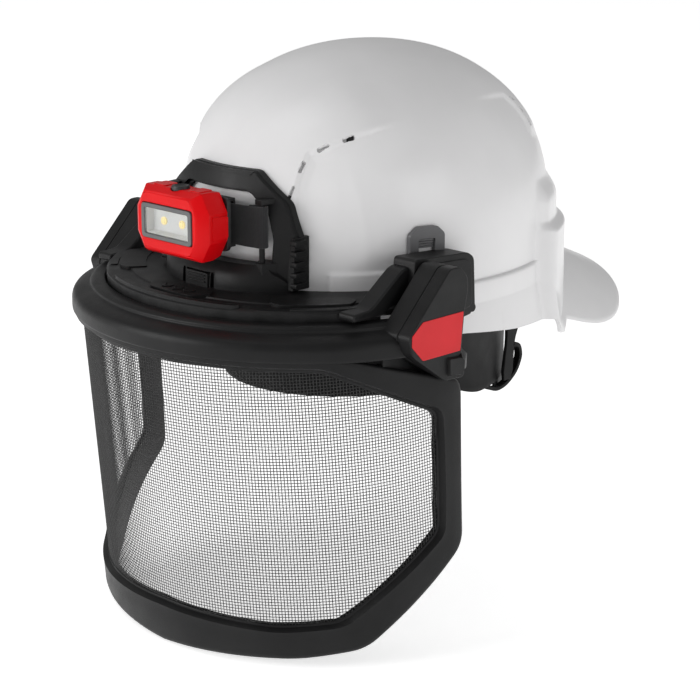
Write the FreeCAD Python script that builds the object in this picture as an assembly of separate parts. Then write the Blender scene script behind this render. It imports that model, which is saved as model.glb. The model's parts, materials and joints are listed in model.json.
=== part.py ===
import FreeCAD, Part
import math
import os

V = FreeCAD.Vector

# Arborist helmet: vented hard hat worn bill-back, with a flip-up mesh face shield and a headlamp.
# Millimetres. Origin: centre of the head opening in the plane of the shell rim.
# The wearer faces -Y, the wearer's left is +X, up is +Z.

# ---- shell ----
DOME_HALF_WIDTH = 110.9
DOME_HALF_LENGTH = 131.5
DOME_BASE_Z = 56.2
DOME_HEIGHT = 108.9
DOME_POWER = 2.17
SHELL_WALL = 2.8
GUTTER_Z = 27.0
GUTTER_STEP = 2.0
RIM_FLARE = 4.0
BILL_HALF_WIDTH = 97.0
BILL_START_Y = 90.0
BILL_LENGTH = 118.0
BILL_POWER = 2.8
BILL_ARCH_RADIUS = 110.0
BILL_CREST_Z = 27.0
BILL_CREST_Y = 125.0
BILL_SLOPE = 0.41
BILL_THICK = 3.2

# Vent slots on the wearer's left: the two ends of each slot on the crown surface.
VENTS = [
    ((46.1, -116.3, 83.1), (47.5, -113.0, 91.0)),
    ((48.1, -109.5, 98.3), (48.6, -105.5, 105.3)),
    ((52.6, -99.1, 110.7), (57.1, -92.9, 114.0)),
    ((61.6, -86.7, 116.3), (65.7, -80.0, 118.7)),
    ((73.8, 54.0, 127.8), (73.0, 60.0, 126.0)),
    ((75.6, 61.0, 122.4), (77.4, 63.4, 118.5)),
    ((79.0, 66.0, 114.5), (81.0, 68.3, 109.6)),
]
VENT_WIDTH = 2.6
HOOD_RISE = 1.4
HOOD_LOW_Z = 72.0
HOOD_PLAN = [
    (0, -135), (47, -125), (48.4, -101), (62, -76), (79, -47), (84, 8), (74, 50), (82, 70),
    (60, 100), (0, 112),
]
LEDGE_RISE = 1.6
LEDGE_SIDE = [(-128, 4), (-72, 4), (-72, 37), (-128, 41)]
SOCKET_IN_X = 96.0
SOCKET_Y = -50.0
SOCKET_WIDTH = 28.0
TONGUE_GAP = 0.3
SOCKET_Z0 = 14.0
SOCKET_Z1 = 22.0
KEY_POINTS = [(78.0, -70.0), (78.0, 70.0)]
STRAP_INSET = 25.2
BACK_PANEL_RISE = 6.0
BACK_BLOCK_RISE = 12.0
FIT_GAP = 0.5

# ---- face shield ----
PIVOT_Y = -74.0
PIVOT_Z = 40.0
SHIELD_HALF_WIDTH = 138.6
SHIELD_DEPTH = 126.7
SHIELD_CENTRE_Y = -69.7
SHIELD_LEAN = 5.44
SHIELD_DATUM_Z = -35.0
MESH_THICK = 0.5
FRAME_OUT = 5.0
FRAME_IN = 3.0
RING_CENTRE_Y = -74.0
RING_INNER = -15.8
ROOF_GAP = 0.7
ROOF_TOP_Z = 27.0
ROOF_LOW_Z = 22.0

# ---- side mounts and arms ----
MOUNT_IN_X = 100.0
MOUNT_OUT_X = 122.0
ARM_IN_X = 122.6
ARM_OUT_X = 146.0
LABEL_THICK = 0.8
PIN_RADIUS = 4.0
PIN_CLEARANCE = 0.05
PIN_END_X = ARM_OUT_X - 4.5
PIN_HOLE_END_X = ARM_OUT_X - 4.0

GUARD_ARM_OUT_X = 117.0

# ---- lamp mount ----
BASE_HALF_WIDTH = 58.0
BASE_DEPTH = 40.0
BASE_CENTRE_Y = -111.5
POST_Y = -134.0
POST_X = 40.0
POST_RADIUS = 1.8
STRAP_LOW_Z = 55.5
STRAP_TOP_Z = 80.5
POST_TOP_Z = 83.0
STRAP_WAY = [(24, -142), (40, -139), (45, -134), (43, -129.6), (37, -129.6), (24, -137)]

# ---- headlamp ----
LAMP_FRONT_Y = -175.0
LAMP_BACK_Y = -152.0
LAMP_MID_Z = 70.0
LAMP_PIVOT_Y = -146.5
LAMP_PIVOT_Z = 49.5

# ---- suspension ----
BAND_HALF_WIDTH = 84.0
BAND_HALF_LENGTH = 102.0
BAND_THICK = 1.6
BAND_LOW_Z = -48.0
BAND_TOP_Z = -14.0
CHIN_HOLE_RADIUS = 3.0
CHIN_HOLE_Z = -52.0
KNOB_RADIUS = 19.0
KNOB_Z = -40.0


def polygon(points, plane, at):
    if plane == "yz":
        corners = [V(at, a, b) for a, b in points]
    elif plane == "xz":
        corners = [V(a, at, b) for a, b in points]
    else:
        corners = [V(a, b, at) for a, b in points]
    return Part.Face(Part.makePolygon(corners + [corners[0]]))


def prism(points, plane, low, high):
    face = polygon(points, plane, low)
    span = high - low
    vector = {"yz": V(span, 0, 0), "xz": V(0, span, 0), "xy": V(0, 0, span)}[plane]
    return face.extrude(vector)


def box(x0, x1, y0, y1, z0, z1):
    return Part.makeBox(x1 - x0, y1 - y0, z1 - z0, V(x0, y0, z0))


def rod(x, y, z, radius, length, axis):
    return Part.makeCylinder(radius, length, V(x, y, z), V(*axis))


def mirrored(shape):
    return shape.mirror(V(0, 0, 0), V(1, 0, 0))


def fused(shapes):
    return shapes[0].multiFuse(shapes[1:]).removeSplitter()


def save(name, shape):
    if len(shape.Solids) == 1:
        shape = shape.Solids[0]
    shape.exportStep("parts/" + name + ".step")


def save_pair(name, left):
    save(name + "_left", left)
    save(name + "_right", mirrored(left))


def stretched(shape, factor_y):
    matrix = FreeCAD.Matrix()
    matrix.scale(1.0, factor_y, 1.0)
    return shape.transformGeometry(matrix)


def dome(offset, low_z, brim):
    # Solid bounded by the dome surface moved out by `offset`; `brim` adds the stepped, flared lower band.
    radius = DOME_HALF_WIDTH + offset
    height = DOME_HEIGHT + offset
    curve_points = []
    for i in range(13):
        angle = math.pi / 2 * (1 - i / 12.0)
        r = radius * math.cos(angle) ** (2 / DOME_POWER) if i else 0.0
        z = DOME_BASE_Z + height * math.sin(angle) ** (2 / DOME_POWER) if i < 12 else DOME_BASE_Z
        curve_points.append(V(r, 0, z))
    crown = Part.BSplineCurve()
    crown.interpolate(Points=curve_points, InitialTangent=V(1, 0, 0), FinalTangent=V(0, 0, -1))
    edges = [crown.toShape()]
    corners = [V(radius, 0, DOME_BASE_Z)]
    if brim:
        corners.append(V(radius, 0, GUTTER_Z))
        corners.append(V(radius + GUTTER_STEP, 0, GUTTER_Z - 1.5))
        corners.append(V(radius + GUTTER_STEP + RIM_FLARE, 0, low_z))
    else:
        corners.append(V(radius, 0, low_z))
    corners.append(V(0, 0, low_z))
    corners.append(V(0, 0, DOME_BASE_Z + height))
    for a, b in zip(corners, corners[1:]):
        edges.append(Part.makeLine(a, b))
    profile = Part.Face(Part.Wire(edges))
    solid = profile.revolve(V(0, 0, 0), V(0, 0, 1), 360)
    factor = (DOME_HALF_LENGTH + offset) / radius
    return stretched(solid, factor)


def ellipse_prism(half_x, half_y, centre_y, z0, z1):
    disc = Part.Face(Part.Wire(Part.makeCircle(half_x, V(0, 0, z0))))
    solid = stretched(disc.extrude(V(0, 0, z1 - z0)), half_y / half_x)
    solid.translate(V(0, centre_y, 0))
    return solid


def shield_solid(offset, z0=-230.0, z1=60.0):
    # Leaning elliptical column; its wall is the mesh surface moved out by `offset`.
    solid = ellipse_prism(
        SHIELD_HALF_WIDTH + offset, SHIELD_DEPTH + offset, SHIELD_CENTRE_Y, z0, z1
    )
    solid.rotate(V(0, SHIELD_CENTRE_Y, SHIELD_DATUM_Z), V(1, 0, 0), SHIELD_LEAN)
    return solid


def rounded_polygon(points, radius):
    # Closed outline with every corner replaced by an arc.
    edges = []
    count = len(points)
    cuts = []
    for i in range(count):
        p0, p1, p2 = (V(*points[(i + k) % count]) for k in (-1, 0, 1))
        u = (p0 - p1).normalize()
        w = (p2 - p1).normalize()
        half = u.getAngle(w) / 2
        reach = min(radius / math.tan(half), (p0 - p1).Length * 0.45, (p2 - p1).Length * 0.45)
        start = p1 + u * reach
        end = p1 + w * reach
        bisector = (u + w).normalize()
        true_radius = reach * math.tan(half)
        centre = p1 + bisector * (true_radius / math.sin(half))
        middle = centre - bisector * true_radius
        cuts.append((start, middle, end))
    for i in range(count):
        start, middle, end = cuts[i]
        edges.append(Part.Arc(start, middle, end).toShape())
        edges.append(Part.makeLine(end, cuts[(i + 1) % count][0]))
    return Part.Face(Part.Wire(edges))


def rounded_prism(points, plane, low, high, radius):
    if plane == "yz":
        corners = [(low, a, b) for a, b in points]
        vector = V(high - low, 0, 0)
    elif plane == "xz":
        corners = [(a, low, b) for a, b in points]
        vector = V(0, high - low, 0)
    else:
        corners = [(a, b, low) for a, b in points]
        vector = V(0, 0, high - low)
    return rounded_polygon(corners, radius).extrude(vector)


def vent_slot(start, end):
    along = (end - start).normalize()
    middle = (start + end) * 0.5
    outward = V(middle.x, middle.y, middle.z - 10.0).normalize()
    across = along.cross(outward).normalize()
    outward = across.cross(along)
    half = (end - start).Length / 2
    corners = []
    for u, w in ((-1, -1), (1, -1), (1, 1), (-1, 1)):
        corners.append(middle + along * (u * half) + across * (w * VENT_WIDTH / 2) - outward * 9)
    face = Part.Face(Part.makePolygon(corners + [corners[0]]))
    return face.extrude(outward * 18)


def ring_solid(profile):
    # Ring with an elliptical plan; profile gives (distance out from the mesh, height).
    points = [V(SHIELD_HALF_WIDTH + out, 0, z) for out, z in profile]
    face = Part.Face(Part.makePolygon(points + [points[0]]))
    solid = face.revolve(V(0, 0, 0), V(0, 0, 1), 360)
    solid = stretched(solid, SHIELD_DEPTH / SHIELD_HALF_WIDTH)
    solid.translate(V(0, RING_CENTRE_Y, 0))
    return solid


def raised_steps(gap):
    # The raised hood over the crown and the two brow ledges, each moved out by `gap`.
    ledge = dome(LEDGE_RISE + gap, 0.0, False).common(prism(LEDGE_SIDE, "yz", 30 - gap, 130))
    hood = dome(HOOD_RISE + gap, 60.0, False).common(prism(HOOD_PLAN, "xy", HOOD_LOW_Z - gap, 180.0))
    return [ledge, mirrored(ledge), hood, mirrored(hood)]


def shell_space(gap):
    # Everything inside the shell's outer face moved out by `gap`, for cutting the pieces that lie on it.
    return fused([dome(gap, -40.0, True)] + raised_steps(gap))


os.makedirs("parts", exist_ok=True)

# ================= shell =================
outer = dome(0.0, -34.0, True)
inner = dome(-SHELL_WALL, -40.0, True)
below_rim = [
    (-150, 6), (-110, 2), (-60, -3), (-27, -5), (21, -11), (65, -14), (88, -15), (104, -20),
    (120, -26), (140, -31), (240, -44), (240, -90), (-150, -90),
]
rim_trim = prism(below_rim, "yz", -150, 150)

# Back panel above the bill, in two steps: a shallow upper panel and a deeper lower block.
upper_step = [(52, 40), (170, 40), (170, 62), (136, 74), (66, 74), (52, 60)]
lower_step = [(54, 10), (170, 10), (170, 45), (120, 52), (60, 48)]
back_panel = dome(BACK_PANEL_RISE, GUTTER_Z - 10.0, False).common(prism(upper_step, "yz", -140, 140))
back_block = dome(BACK_BLOCK_RISE, GUTTER_Z - 10.0, False).common(prism(lower_step, "yz", -140, 140))
side_limit = [(-104, 30), (-60, 170), (60, 170), (104, 30)]
bulge = back_panel.fuse(back_block).common(prism(side_limit, "xy", 0, 90))

# Bill: an arched sheet sloping down to the back, trimmed to its plan outline.
arch_outer = rod(0, 0, BILL_CREST_Z - BILL_ARCH_RADIUS, BILL_ARCH_RADIUS, 160, (0, 1, 0))
arch_inner = rod(0, -1, BILL_CREST_Z - BILL_ARCH_RADIUS, BILL_ARCH_RADIUS - BILL_THICK, 162, (0, 1, 0))
arch = arch_outer.cut(arch_inner)
shear = FreeCAD.Matrix()
shear.A32 = -BILL_SLOPE
arch = arch.transformGeometry(shear)
arch.translate(V(0, 60.0, BILL_SLOPE * (BILL_CREST_Y - 60.0)))
plan = []
for i in range(41):
    angle = math.pi * i / 40.0
    c = math.cos(angle)
    s = math.sin(angle)
    x = BILL_HALF_WIDTH * math.copysign(abs(c) ** (2 / BILL_POWER), c)
    y = BILL_START_Y + BILL_LENGTH * abs(s) ** (2 / BILL_POWER)
    plan.append(V(x, y, -90))
plan_curve = Part.BSplineCurve()
plan_curve.interpolate(Points=plan)
plan_edges = [plan_curve.toShape()]
plan_corners = [plan[-1], V(-BILL_HALF_WIDTH - 6, 70, -90), V(BILL_HALF_WIDTH + 6, 70, -90), plan[0]]
for a, b in zip(plan_corners, plan_corners[1:]):
    plan_edges.append(Part.makeLine(a, b))
bill_plan = Part.Face(Part.Wire(plan_edges)).extrude(V(0, 0, 160))
bill = arch.common(bill_plan).cut(rim_trim)

shell = fused([outer.cut(rim_trim), bulge, bill])
shell = shell.cut(inner)
shell = max(shell.Solids, key=lambda s: s.Volume)

# Brow ledges, vent slots front and rear, and the side accessory sockets that the carriers plug into.
shell = fused([shell] + [step.cut(inner) for step in raised_steps(0.0)])
cutters = []
for start, end in VENTS:
    slot = vent_slot(V(*start), V(*end))
    cutters.append(slot)
    cutters.append(mirrored(slot))
socket = box(SOCKET_IN_X, 125, SOCKET_Y - SOCKET_WIDTH / 2, SOCKET_Y + SOCKET_WIDTH / 2, SOCKET_Z0, SOCKET_Z1)
cutters.append(socket)
cutters.append(mirrored(socket))
shell = shell.cut(Part.makeCompound(cutters))
shell = max(shell.Solids, key=lambda s: s.Volume)
save("shell", shell)

# ================= face shield =================
side_outline = [
    (-230, 8), (-230, -206), (-200, -200), (-126, -185.5), (-61.5, -128), (-64, -24), (-64, 8),
]
window = [
    (-230, -5.5), (-151, -5.5), (-84.5, -38.5), (-81, -114), (-135.5, -166.5), (-161, -170.5), (-230, -167),
]
frame = shield_solid(FRAME_OUT).cut(shield_solid(-FRAME_IN)).common(prism(side_outline, "yz", -160, 160))
frame = frame.cut(prism(window, "yz", -160, 160))
ring = ring_solid([
    (6.0, 1.0), (6.0, 9.5), (4.3, 13.0), (0.0, 15.0), (-6.0, 16.5), (-6.0, 19.0), (-9.0, 20.5),
    (RING_INNER, 20.5), (RING_INNER, 17.5), (-9.0, 13.5), (-5.0, 10.0), (-5.0, 1.0),
])
ring = ring.common(box(-160, 160, -230, -74, -5, 40))
mesh_cut = shield_solid(MESH_THICK / 2 + 0.4).cut(shield_solid(-FRAME_IN - 1.0))
groove = [
    (-230, -1.5), (-152, -1.5), (-80.5, -36.5), (-77, -115.8), (-133.7, -170.3),
    (-160.5, -174.5), (-230, -171),
]
mesh_cut = mesh_cut.common(prism(groove, "yz", -160, 160))
frame = fused([frame, ring]).cut(mesh_cut)

mesh = shield_solid(MESH_THICK / 2).cut(shield_solid(-MESH_THICK / 2))
save("mesh_screen", mesh.common(prism(groove, "yz", -160, 160)))

retainer = shield_solid(-MESH_THICK / 2).cut(shield_solid(-FRAME_IN))
retainer = retainer.common(prism(groove, "yz", -160, 160)).cut(prism(window, "yz", -160, 160))
save("mesh_retainer", retainer)

# Arms: teardrop plates outside the carriers, joined to the ring at the front.
arm_outline = [
    (-82, 51), (-73, 51), (-66.5, 44.5), (-65.5, 37), (-68.4, 23.6), (-70.8, -0.7), (-62, -5),
    (-62.5, -14), (-70, -18), (-85.4, -17), (-114, 3.3), (-117.8, 14.9), (-86.5, 46.4),
]
arm = rounded_prism(arm_outline, "yz", ARM_IN_X, ARM_OUT_X, 3.0)
frame_block = arm
label_outline = [(-105.8, 23.2), (-71, 23.2), (-73, 0.5), (-105.5, 0), (-114, 9.6), (-114, 16.0)]
label_pocket = rounded_prism(label_outline, "yz", ARM_OUT_X - LABEL_THICK, ARM_OUT_X + 5, 2.0)
pin_hole = rod(90, PIVOT_Y, PIVOT_Z, PIN_RADIUS + PIN_CLEARANCE, PIN_HOLE_END_X - 90, (1, 0, 0))
button_hole = box(ARM_IN_X - 1, ARM_OUT_X + 1, -78.4, -65.6, -14.4, -3.6)
arm = arm.cut(label_pocket).cut(pin_hole).cut(button_hole)
save_pair("arm", max(arm.Solids, key=lambda s: s.Volume))
frame = frame.cut(frame_block).cut(mirrored(frame_block))
save("shield_frame", max(frame.Solids, key=lambda s: s.Volume))
label = rounded_prism(label_outline, "yz", ARM_OUT_X - LABEL_THICK, ARM_OUT_X + 0.3, 2.0)
save_pair("label", label)

# The pivot pin ends in a blind hole, so the arm's outer face is plain.
pin_start_x = MOUNT_OUT_X - 12
pin = rod(pin_start_x, PIVOT_Y, PIVOT_Z, PIN_RADIUS, PIN_END_X - pin_start_x, (1, 0, 0))
save_pair("pivot_pin", pin)

# Release button in the lower rear corner of each arm: cap, stem and inner stop plate.
button_cap = box(ARM_OUT_X - 6, ARM_OUT_X + 2.4, -78.0, -66.0, -14.0, -4.0)
button_stop = box(ARM_IN_X + 3.0, ARM_OUT_X - 6, -75.0, -69.0, -12.0, -6.0)
save_pair("release_button", fused([button_cap, button_stop]))

# ================= carriers on the shell sides =================
carrier_outline = [(-86, 53), (-38, 50), (-32, 46), (-30, 12), (-46, 8), (-82, 12), (-88, 32)]
carrier = rounded_prism(carrier_outline, "yz", MOUNT_IN_X, MOUNT_OUT_X, 3.0)
carrier = carrier.cut(shell_space(FIT_GAP))
carrier = carrier.cut(rod(MOUNT_OUT_X - 12, PIVOT_Y, PIVOT_Z, PIN_RADIUS, 20, (1, 0, 0)))
carrier = carrier.cut(box(90, GUARD_ARM_OUT_X + 0.2, -95, -70, 22.8, 48.2))
tongue_half = SOCKET_WIDTH / 2 - TONGUE_GAP
tongue = box(SOCKET_IN_X + 8, 114, SOCKET_Y - tongue_half, SOCKET_Y + tongue_half,
             SOCKET_Z0 + TONGUE_GAP, SOCKET_Z1 - TONGUE_GAP)
carrier = fused([carrier, tongue])
save_pair("side_carrier", max(carrier.Solids, key=lambda s: s.Volume))

clip_outline = [(-66, 44), (-66, 61), (-61, 66), (-49, 66), (-44, 61), (-44, 44)]
clip_face = rounded_prism(clip_outline, "yz", 80, 125, 1.5)
clip = dome(2.6, 0.0, False).cut(dome(0.1, -10.0, False)).common(clip_face)
clip = clip.cut(dome(1.4, -10.0, False).common(box(80, 125, -60.0, -50.0, 47.0, 57.5)))
clip = clip.cut(box(80, 125, -58.5, -51.5, 48.5, 56.0))
clip_rib = dome(2.4, 0.0, False).cut(dome(0.1, -10.0, False)).common(box(80, 125, -58.5, -51.5, 51.8, 53.0))
clip = fused([clip, clip_rib]).cut(rounded_prism(carrier_outline, "yz", MOUNT_IN_X, MOUNT_OUT_X, 3.0))
save_pair("strap_clip", max(clip.Solids, key=lambda s: s.Volume))

# ================= brim guard =================
roof = ring_solid([(RING_INNER - ROOF_GAP, ROOF_LOW_Z), (RING_INNER - ROOF_GAP, ROOF_TOP_Z - 1.5),
                   (RING_INNER - ROOF_GAP - 1.5, ROOF_TOP_Z), (-70.0, ROOF_TOP_Z), (-70.0, ROOF_LOW_Z)])
roof = roof.common(box(-160, 160, -230, -88, 0, 60)).cut(shell_space(FIT_GAP))
roof = roof.cut(ellipse_prism(BASE_HALF_WIDTH + 1.5, BASE_DEPTH + 1.5, BASE_CENTRE_Y, 0, 60))
step = ring_solid([(-24.0, ROOF_TOP_Z - 0.5), (-24.0, ROOF_TOP_Z + 1.0), (-25.0, ROOF_TOP_Z + 2.0),
                   (-38.0, ROOF_TOP_Z + 2.0), (-38.0, ROOF_TOP_Z - 0.5)])
step = step.common(box(-84, 84, -230, -112, 0, 60)).cut(shell_space(FIT_GAP))
step = step.cut(ellipse_prism(BASE_HALF_WIDTH + 1.5, BASE_DEPTH + 1.5, BASE_CENTRE_Y, 0, 60))
badge = rounded_prism([(-24, -181), (24, -181), (18, -164), (-18, -164)], "xy",
                      ROOF_TOP_Z + 1.2, ROOF_TOP_Z + 6, 4.0)
guard_arm_outline = [(-72, 48), (-88, 48), (-92, 47), (-102, 40), (-119, ROOF_TOP_Z), (-128, ROOF_TOP_Z),
                     (-128, ROOF_LOW_Z), (-108, ROOF_LOW_Z), (-94, 23), (-72, 23)]
guard_arm = prism(guard_arm_outline, "yz", 106.0, GUARD_ARM_OUT_X).cut(shell_space(FIT_GAP))
guard_arm = guard_arm.cut(pin_hole)
guard_rim = ring_solid([(RING_INNER - ROOF_GAP, 0), (RING_INNER - ROOF_GAP, 60), (-60, 60), (-60, 0)])
guard_arm = guard_arm.common(fused([guard_rim, box(90, 160, -88.5, -60, 0, 60)]))
guard = fused([roof, step.cut(badge), guard_arm, mirrored(guard_arm)])
save("brim_guard", max(guard.Solids, key=lambda s: s.Volume))

# ================= lamp mount =================
hexagon = [
    (28, 100), (51, 82), (58, 62), (57, 32), (44, 24), (-44, 24), (-57, 32), (-58, 62), (-51, 82), (-28, 100),
]
opening = [(26, 87), (39.5, 76), (43.5, 60), (42, 40), (-42, 40), (-43.5, 60), (-39.5, 76), (-26, 87)]
plate = dome(9.0, 0.0, False).cut(dome(0.5, -10.0, False))
plate = plate.common(prism(hexagon, "xz", -170, -60)).cut(prism(opening, "xz", -171, -60))
grip = box(53, 59, -126, -110, 29, 62)
for i in range(5):
    grip = grip.fuse(box(59, 61.5, -126, -116, 31.0 + 6.6 * i, 34.0 + 6.6 * i))
base = ellipse_prism(BASE_HALF_WIDTH, BASE_DEPTH, BASE_CENTRE_Y, 21.0, 39.0)
base = base.common(prism([(-46, 40), (-56, 30), (-48, 20), (48, 20), (56, 30), (46, 40)], "xz", -170, -90))
base = base.cut(box(-10.3, 10.3, -153, -144.5, 20, 37.5))
posts = [rod(side * POST_X, POST_Y, 39.0, POST_RADIUS, POST_TOP_Z - 39.0, (0, 0, 1)) for side in (-1, 1)]
foot_pads = [box(side * POST_X - 3, side * POST_X + 3, POST_Y - 3, -118, 36.0, 41.0) for side in (-1, 1)]
head_pads = [box(side * POST_X - 3, side * POST_X + 3, POST_Y - 3, -112, STRAP_TOP_Z + 0.8, STRAP_TOP_Z + 4.8)
             for side in (-1, 1)]
way_low = STRAP_LOW_Z - 1.5
way_top = STRAP_TOP_Z + 0.8
strap_way = rod(POST_X, POST_Y, way_low, 4.2, way_top - way_low, (0, 0, 1))
strap_way = strap_way.fuse(prism(STRAP_WAY, "xy", way_low, way_top))
mount = fused([plate, grip, mirrored(grip), base]).cut(strap_way).cut(mirrored(strap_way))
mount = fused([mount] + posts + foot_pads + head_pads).cut(shell_space(FIT_GAP))
save("lamp_mount", max(mount.Solids, key=lambda s: s.Volume))
latch = fused([box(-10, 10, -152.0, -149.0, 22.5, 37.0), box(-10, 10, -152.9, -152.0, 33.0, 36.0),
               box(-5, 5, -149.0, -147.0, 24.0, 30.0)])
save("lamp_mount_latch", latch)

# ================= headlamp =================
face = [(-32, 9), (-25, 21), (25, 21), (32, 9), (32, -9), (25, -21), (-25, -21), (-32, -9)]


def face_wire(scale, y):
    corners = [V(x * scale, y, LAMP_MID_Z + z * scale) for x, z in face]
    return Part.makePolygon(corners + [corners[0]])


front_taper = Part.makeLoft([face_wire(0.86, LAMP_FRONT_Y), face_wire(1.0, LAMP_FRONT_Y + 6)], True, True)
rear_block = Part.makeLoft([face_wire(1.0, LAMP_FRONT_Y + 6), face_wire(0.95, LAMP_BACK_Y)], True, True)
lamp_body = front_taper.fuse(rear_block).removeSplitter()
bezel_half_x = 22.5
bezel_half_z = 10.5
bezel_seat = box(-bezel_half_x - 0.1, bezel_half_x + 0.1, LAMP_FRONT_Y - 1, LAMP_FRONT_Y + 8,
                 LAMP_MID_Z - bezel_half_z - 0.1, LAMP_MID_Z + bezel_half_z + 0.1)
cell_room = box(-27, 27, LAMP_FRONT_Y + 9.5, LAMP_BACK_Y + 1, LAMP_MID_Z - 16, LAMP_MID_Z + 12)
lamp_body = lamp_body.cut(bezel_seat).cut(cell_room)
lamp_body = lamp_body.cut(rod(2, -165.0, LAMP_MID_Z + 13.8, 5.9, 10, (0, 0, 1)))
latch_tab = box(-6, 6, -160, -153, LAMP_MID_Z - 22.6, LAMP_MID_Z - 20)
save("lamp_body", lamp_body.fuse(latch_tab).removeSplitter())
bezel = box(-bezel_half_x, bezel_half_x, LAMP_FRONT_Y - 0.8, LAMP_FRONT_Y + 8,
            LAMP_MID_Z - bezel_half_z, LAMP_MID_Z + bezel_half_z)
bezel = bezel.cut(box(-19.5, 19.5, LAMP_FRONT_Y - 2, LAMP_FRONT_Y + 9, LAMP_MID_Z - 8.1, LAMP_MID_Z + 8.1))
save("lamp_bezel", bezel)
lens_low = LAMP_MID_Z - 8.0
lens_top = LAMP_MID_Z + 8.0
save("lamp_lens", box(-19.4, 19.4, LAMP_FRONT_Y - 0.3, LAMP_FRONT_Y + 0.9, lens_low, lens_top))
save("lamp_reflector", box(-19.4, 19.4, LAMP_FRONT_Y + 6.0, LAMP_FRONT_Y + 7.6, lens_low, lens_top))
leds = [rod(x, LAMP_FRONT_Y + 6.0, LAMP_MID_Z, 2.4, 1.4, (0, -1, 0)) for x in (-8.2, 8.2)]
save("lamp_leds", Part.makeCompound(leds))
button = rod(2, -165.0, LAMP_MID_Z + 15.4, 5.6, 7.4, (0, 0, 1))
save("lamp_button", button.cut(rod(2, -165.0, LAMP_MID_Z + 22.2, 3.0, 2, (0, 0, 1))))
cells = [rod(-22.2, -158.8, LAMP_MID_Z + z, 5.2, 44.4, (1, 0, 0)) for z in (-10.6, 0.2)]
save("lamp_cells", Part.makeCompound(cells))
back = rounded_prism([(-28, LAMP_MID_Z - 17), (28, LAMP_MID_Z - 17), (28, LAMP_MID_Z + 17),
                      (-28, LAMP_MID_Z + 17)], "xz", LAMP_BACK_Y, LAMP_BACK_Y + 3.4, 4.0)
plug = box(-26.8, 26.8, LAMP_BACK_Y - 1.4, LAMP_BACK_Y, LAMP_MID_Z - 15.8, LAMP_MID_Z + 11.8)
back = fused([back, plug])
knuckle = rod(-6, LAMP_PIVOT_Y, LAMP_PIVOT_Z, 2.9, 12, (1, 0, 0))
neck = box(-6, 6, LAMP_BACK_Y + 2, LAMP_PIVOT_Y, LAMP_PIVOT_Z - 2.0, LAMP_PIVOT_Z + 4.0)
back = fused([back, knuckle, neck]).cut(rod(-8, LAMP_PIVOT_Y, LAMP_PIVOT_Z, 1.55, 16, (1, 0, 0)))
save("lamp_back", back)
bracket = box(-20, 20, LAMP_PIVOT_Y + 3.4, LAMP_PIVOT_Y + 5.4, LAMP_PIVOT_Z + 4.0, LAMP_PIVOT_Z + 34.0)
ears = [box(x, x + 3.4, LAMP_PIVOT_Y - 3.0, LAMP_PIVOT_Y + 5.4, LAMP_PIVOT_Z - 3.0, LAMP_PIVOT_Z + 6.0)
        for x in (-9.8, 6.4)]
ears = [ear.cut(box(-12, 12, LAMP_PIVOT_Y - 4, LAMP_PIVOT_Y + 3.0, LAMP_PIVOT_Z + 2.6, 200)) for ear in ears]
keeper = box(-20, 20, LAMP_PIVOT_Y + 7.8, LAMP_PIVOT_Y + 9.4, LAMP_PIVOT_Z + 4.0, LAMP_PIVOT_Z + 34.0)
keeper = keeper.cut(box(-13, 13, -200, 0, LAMP_PIVOT_Z + 8, LAMP_PIVOT_Z + 30))
bridges = [box(-20, 20, LAMP_PIVOT_Y + 5.4, LAMP_PIVOT_Y + 7.8, z, z + 1.6)
           for z in (LAMP_PIVOT_Z + 4.0, LAMP_PIVOT_Z + 32.4)]
bracket = fused([bracket, keeper] + ears + bridges)
save("lamp_bracket", bracket.cut(rod(-12, LAMP_PIVOT_Y, LAMP_PIVOT_Z, 1.5, 24, (1, 0, 0))))
save("lamp_hinge_pin", rod(-9.8, LAMP_PIVOT_Y, LAMP_PIVOT_Z, 1.5, 19.6, (1, 0, 0)))
strap_y = LAMP_PIVOT_Y + 6.6
web = box(-24, 24, strap_y - 0.8, strap_y + 0.8, STRAP_LOW_Z, STRAP_TOP_Z)
wing = prism([(24, strap_y - 0.8), (24, strap_y + 0.8), (POST_X - 1, POST_Y + 3.3), (POST_X, POST_Y + 2.1)],
             "xy", STRAP_LOW_Z, STRAP_TOP_Z)
loop = rod(POST_X, POST_Y, STRAP_LOW_Z, 3.4, STRAP_TOP_Z - STRAP_LOW_Z, (0, 0, 1))
strap = fused([web, wing, loop, mirrored(wing), mirrored(loop)])
for side in (-1, 1):
    strap = strap.cut(rod(side * POST_X, POST_Y, 30, POST_RADIUS + 0.1, 60, (0, 0, 1)))
save("lamp_strap", strap)

# ================= suspension =================
def band(out, thick, z0, z1):
    tube = ellipse_prism(BAND_HALF_WIDTH + out + thick, BAND_HALF_LENGTH + out + thick, 0, z0, z1)
    return tube.cut(ellipse_prism(BAND_HALF_WIDTH + out, BAND_HALF_LENGTH + out, 0, z0 - 1, z1 + 1))


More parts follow.
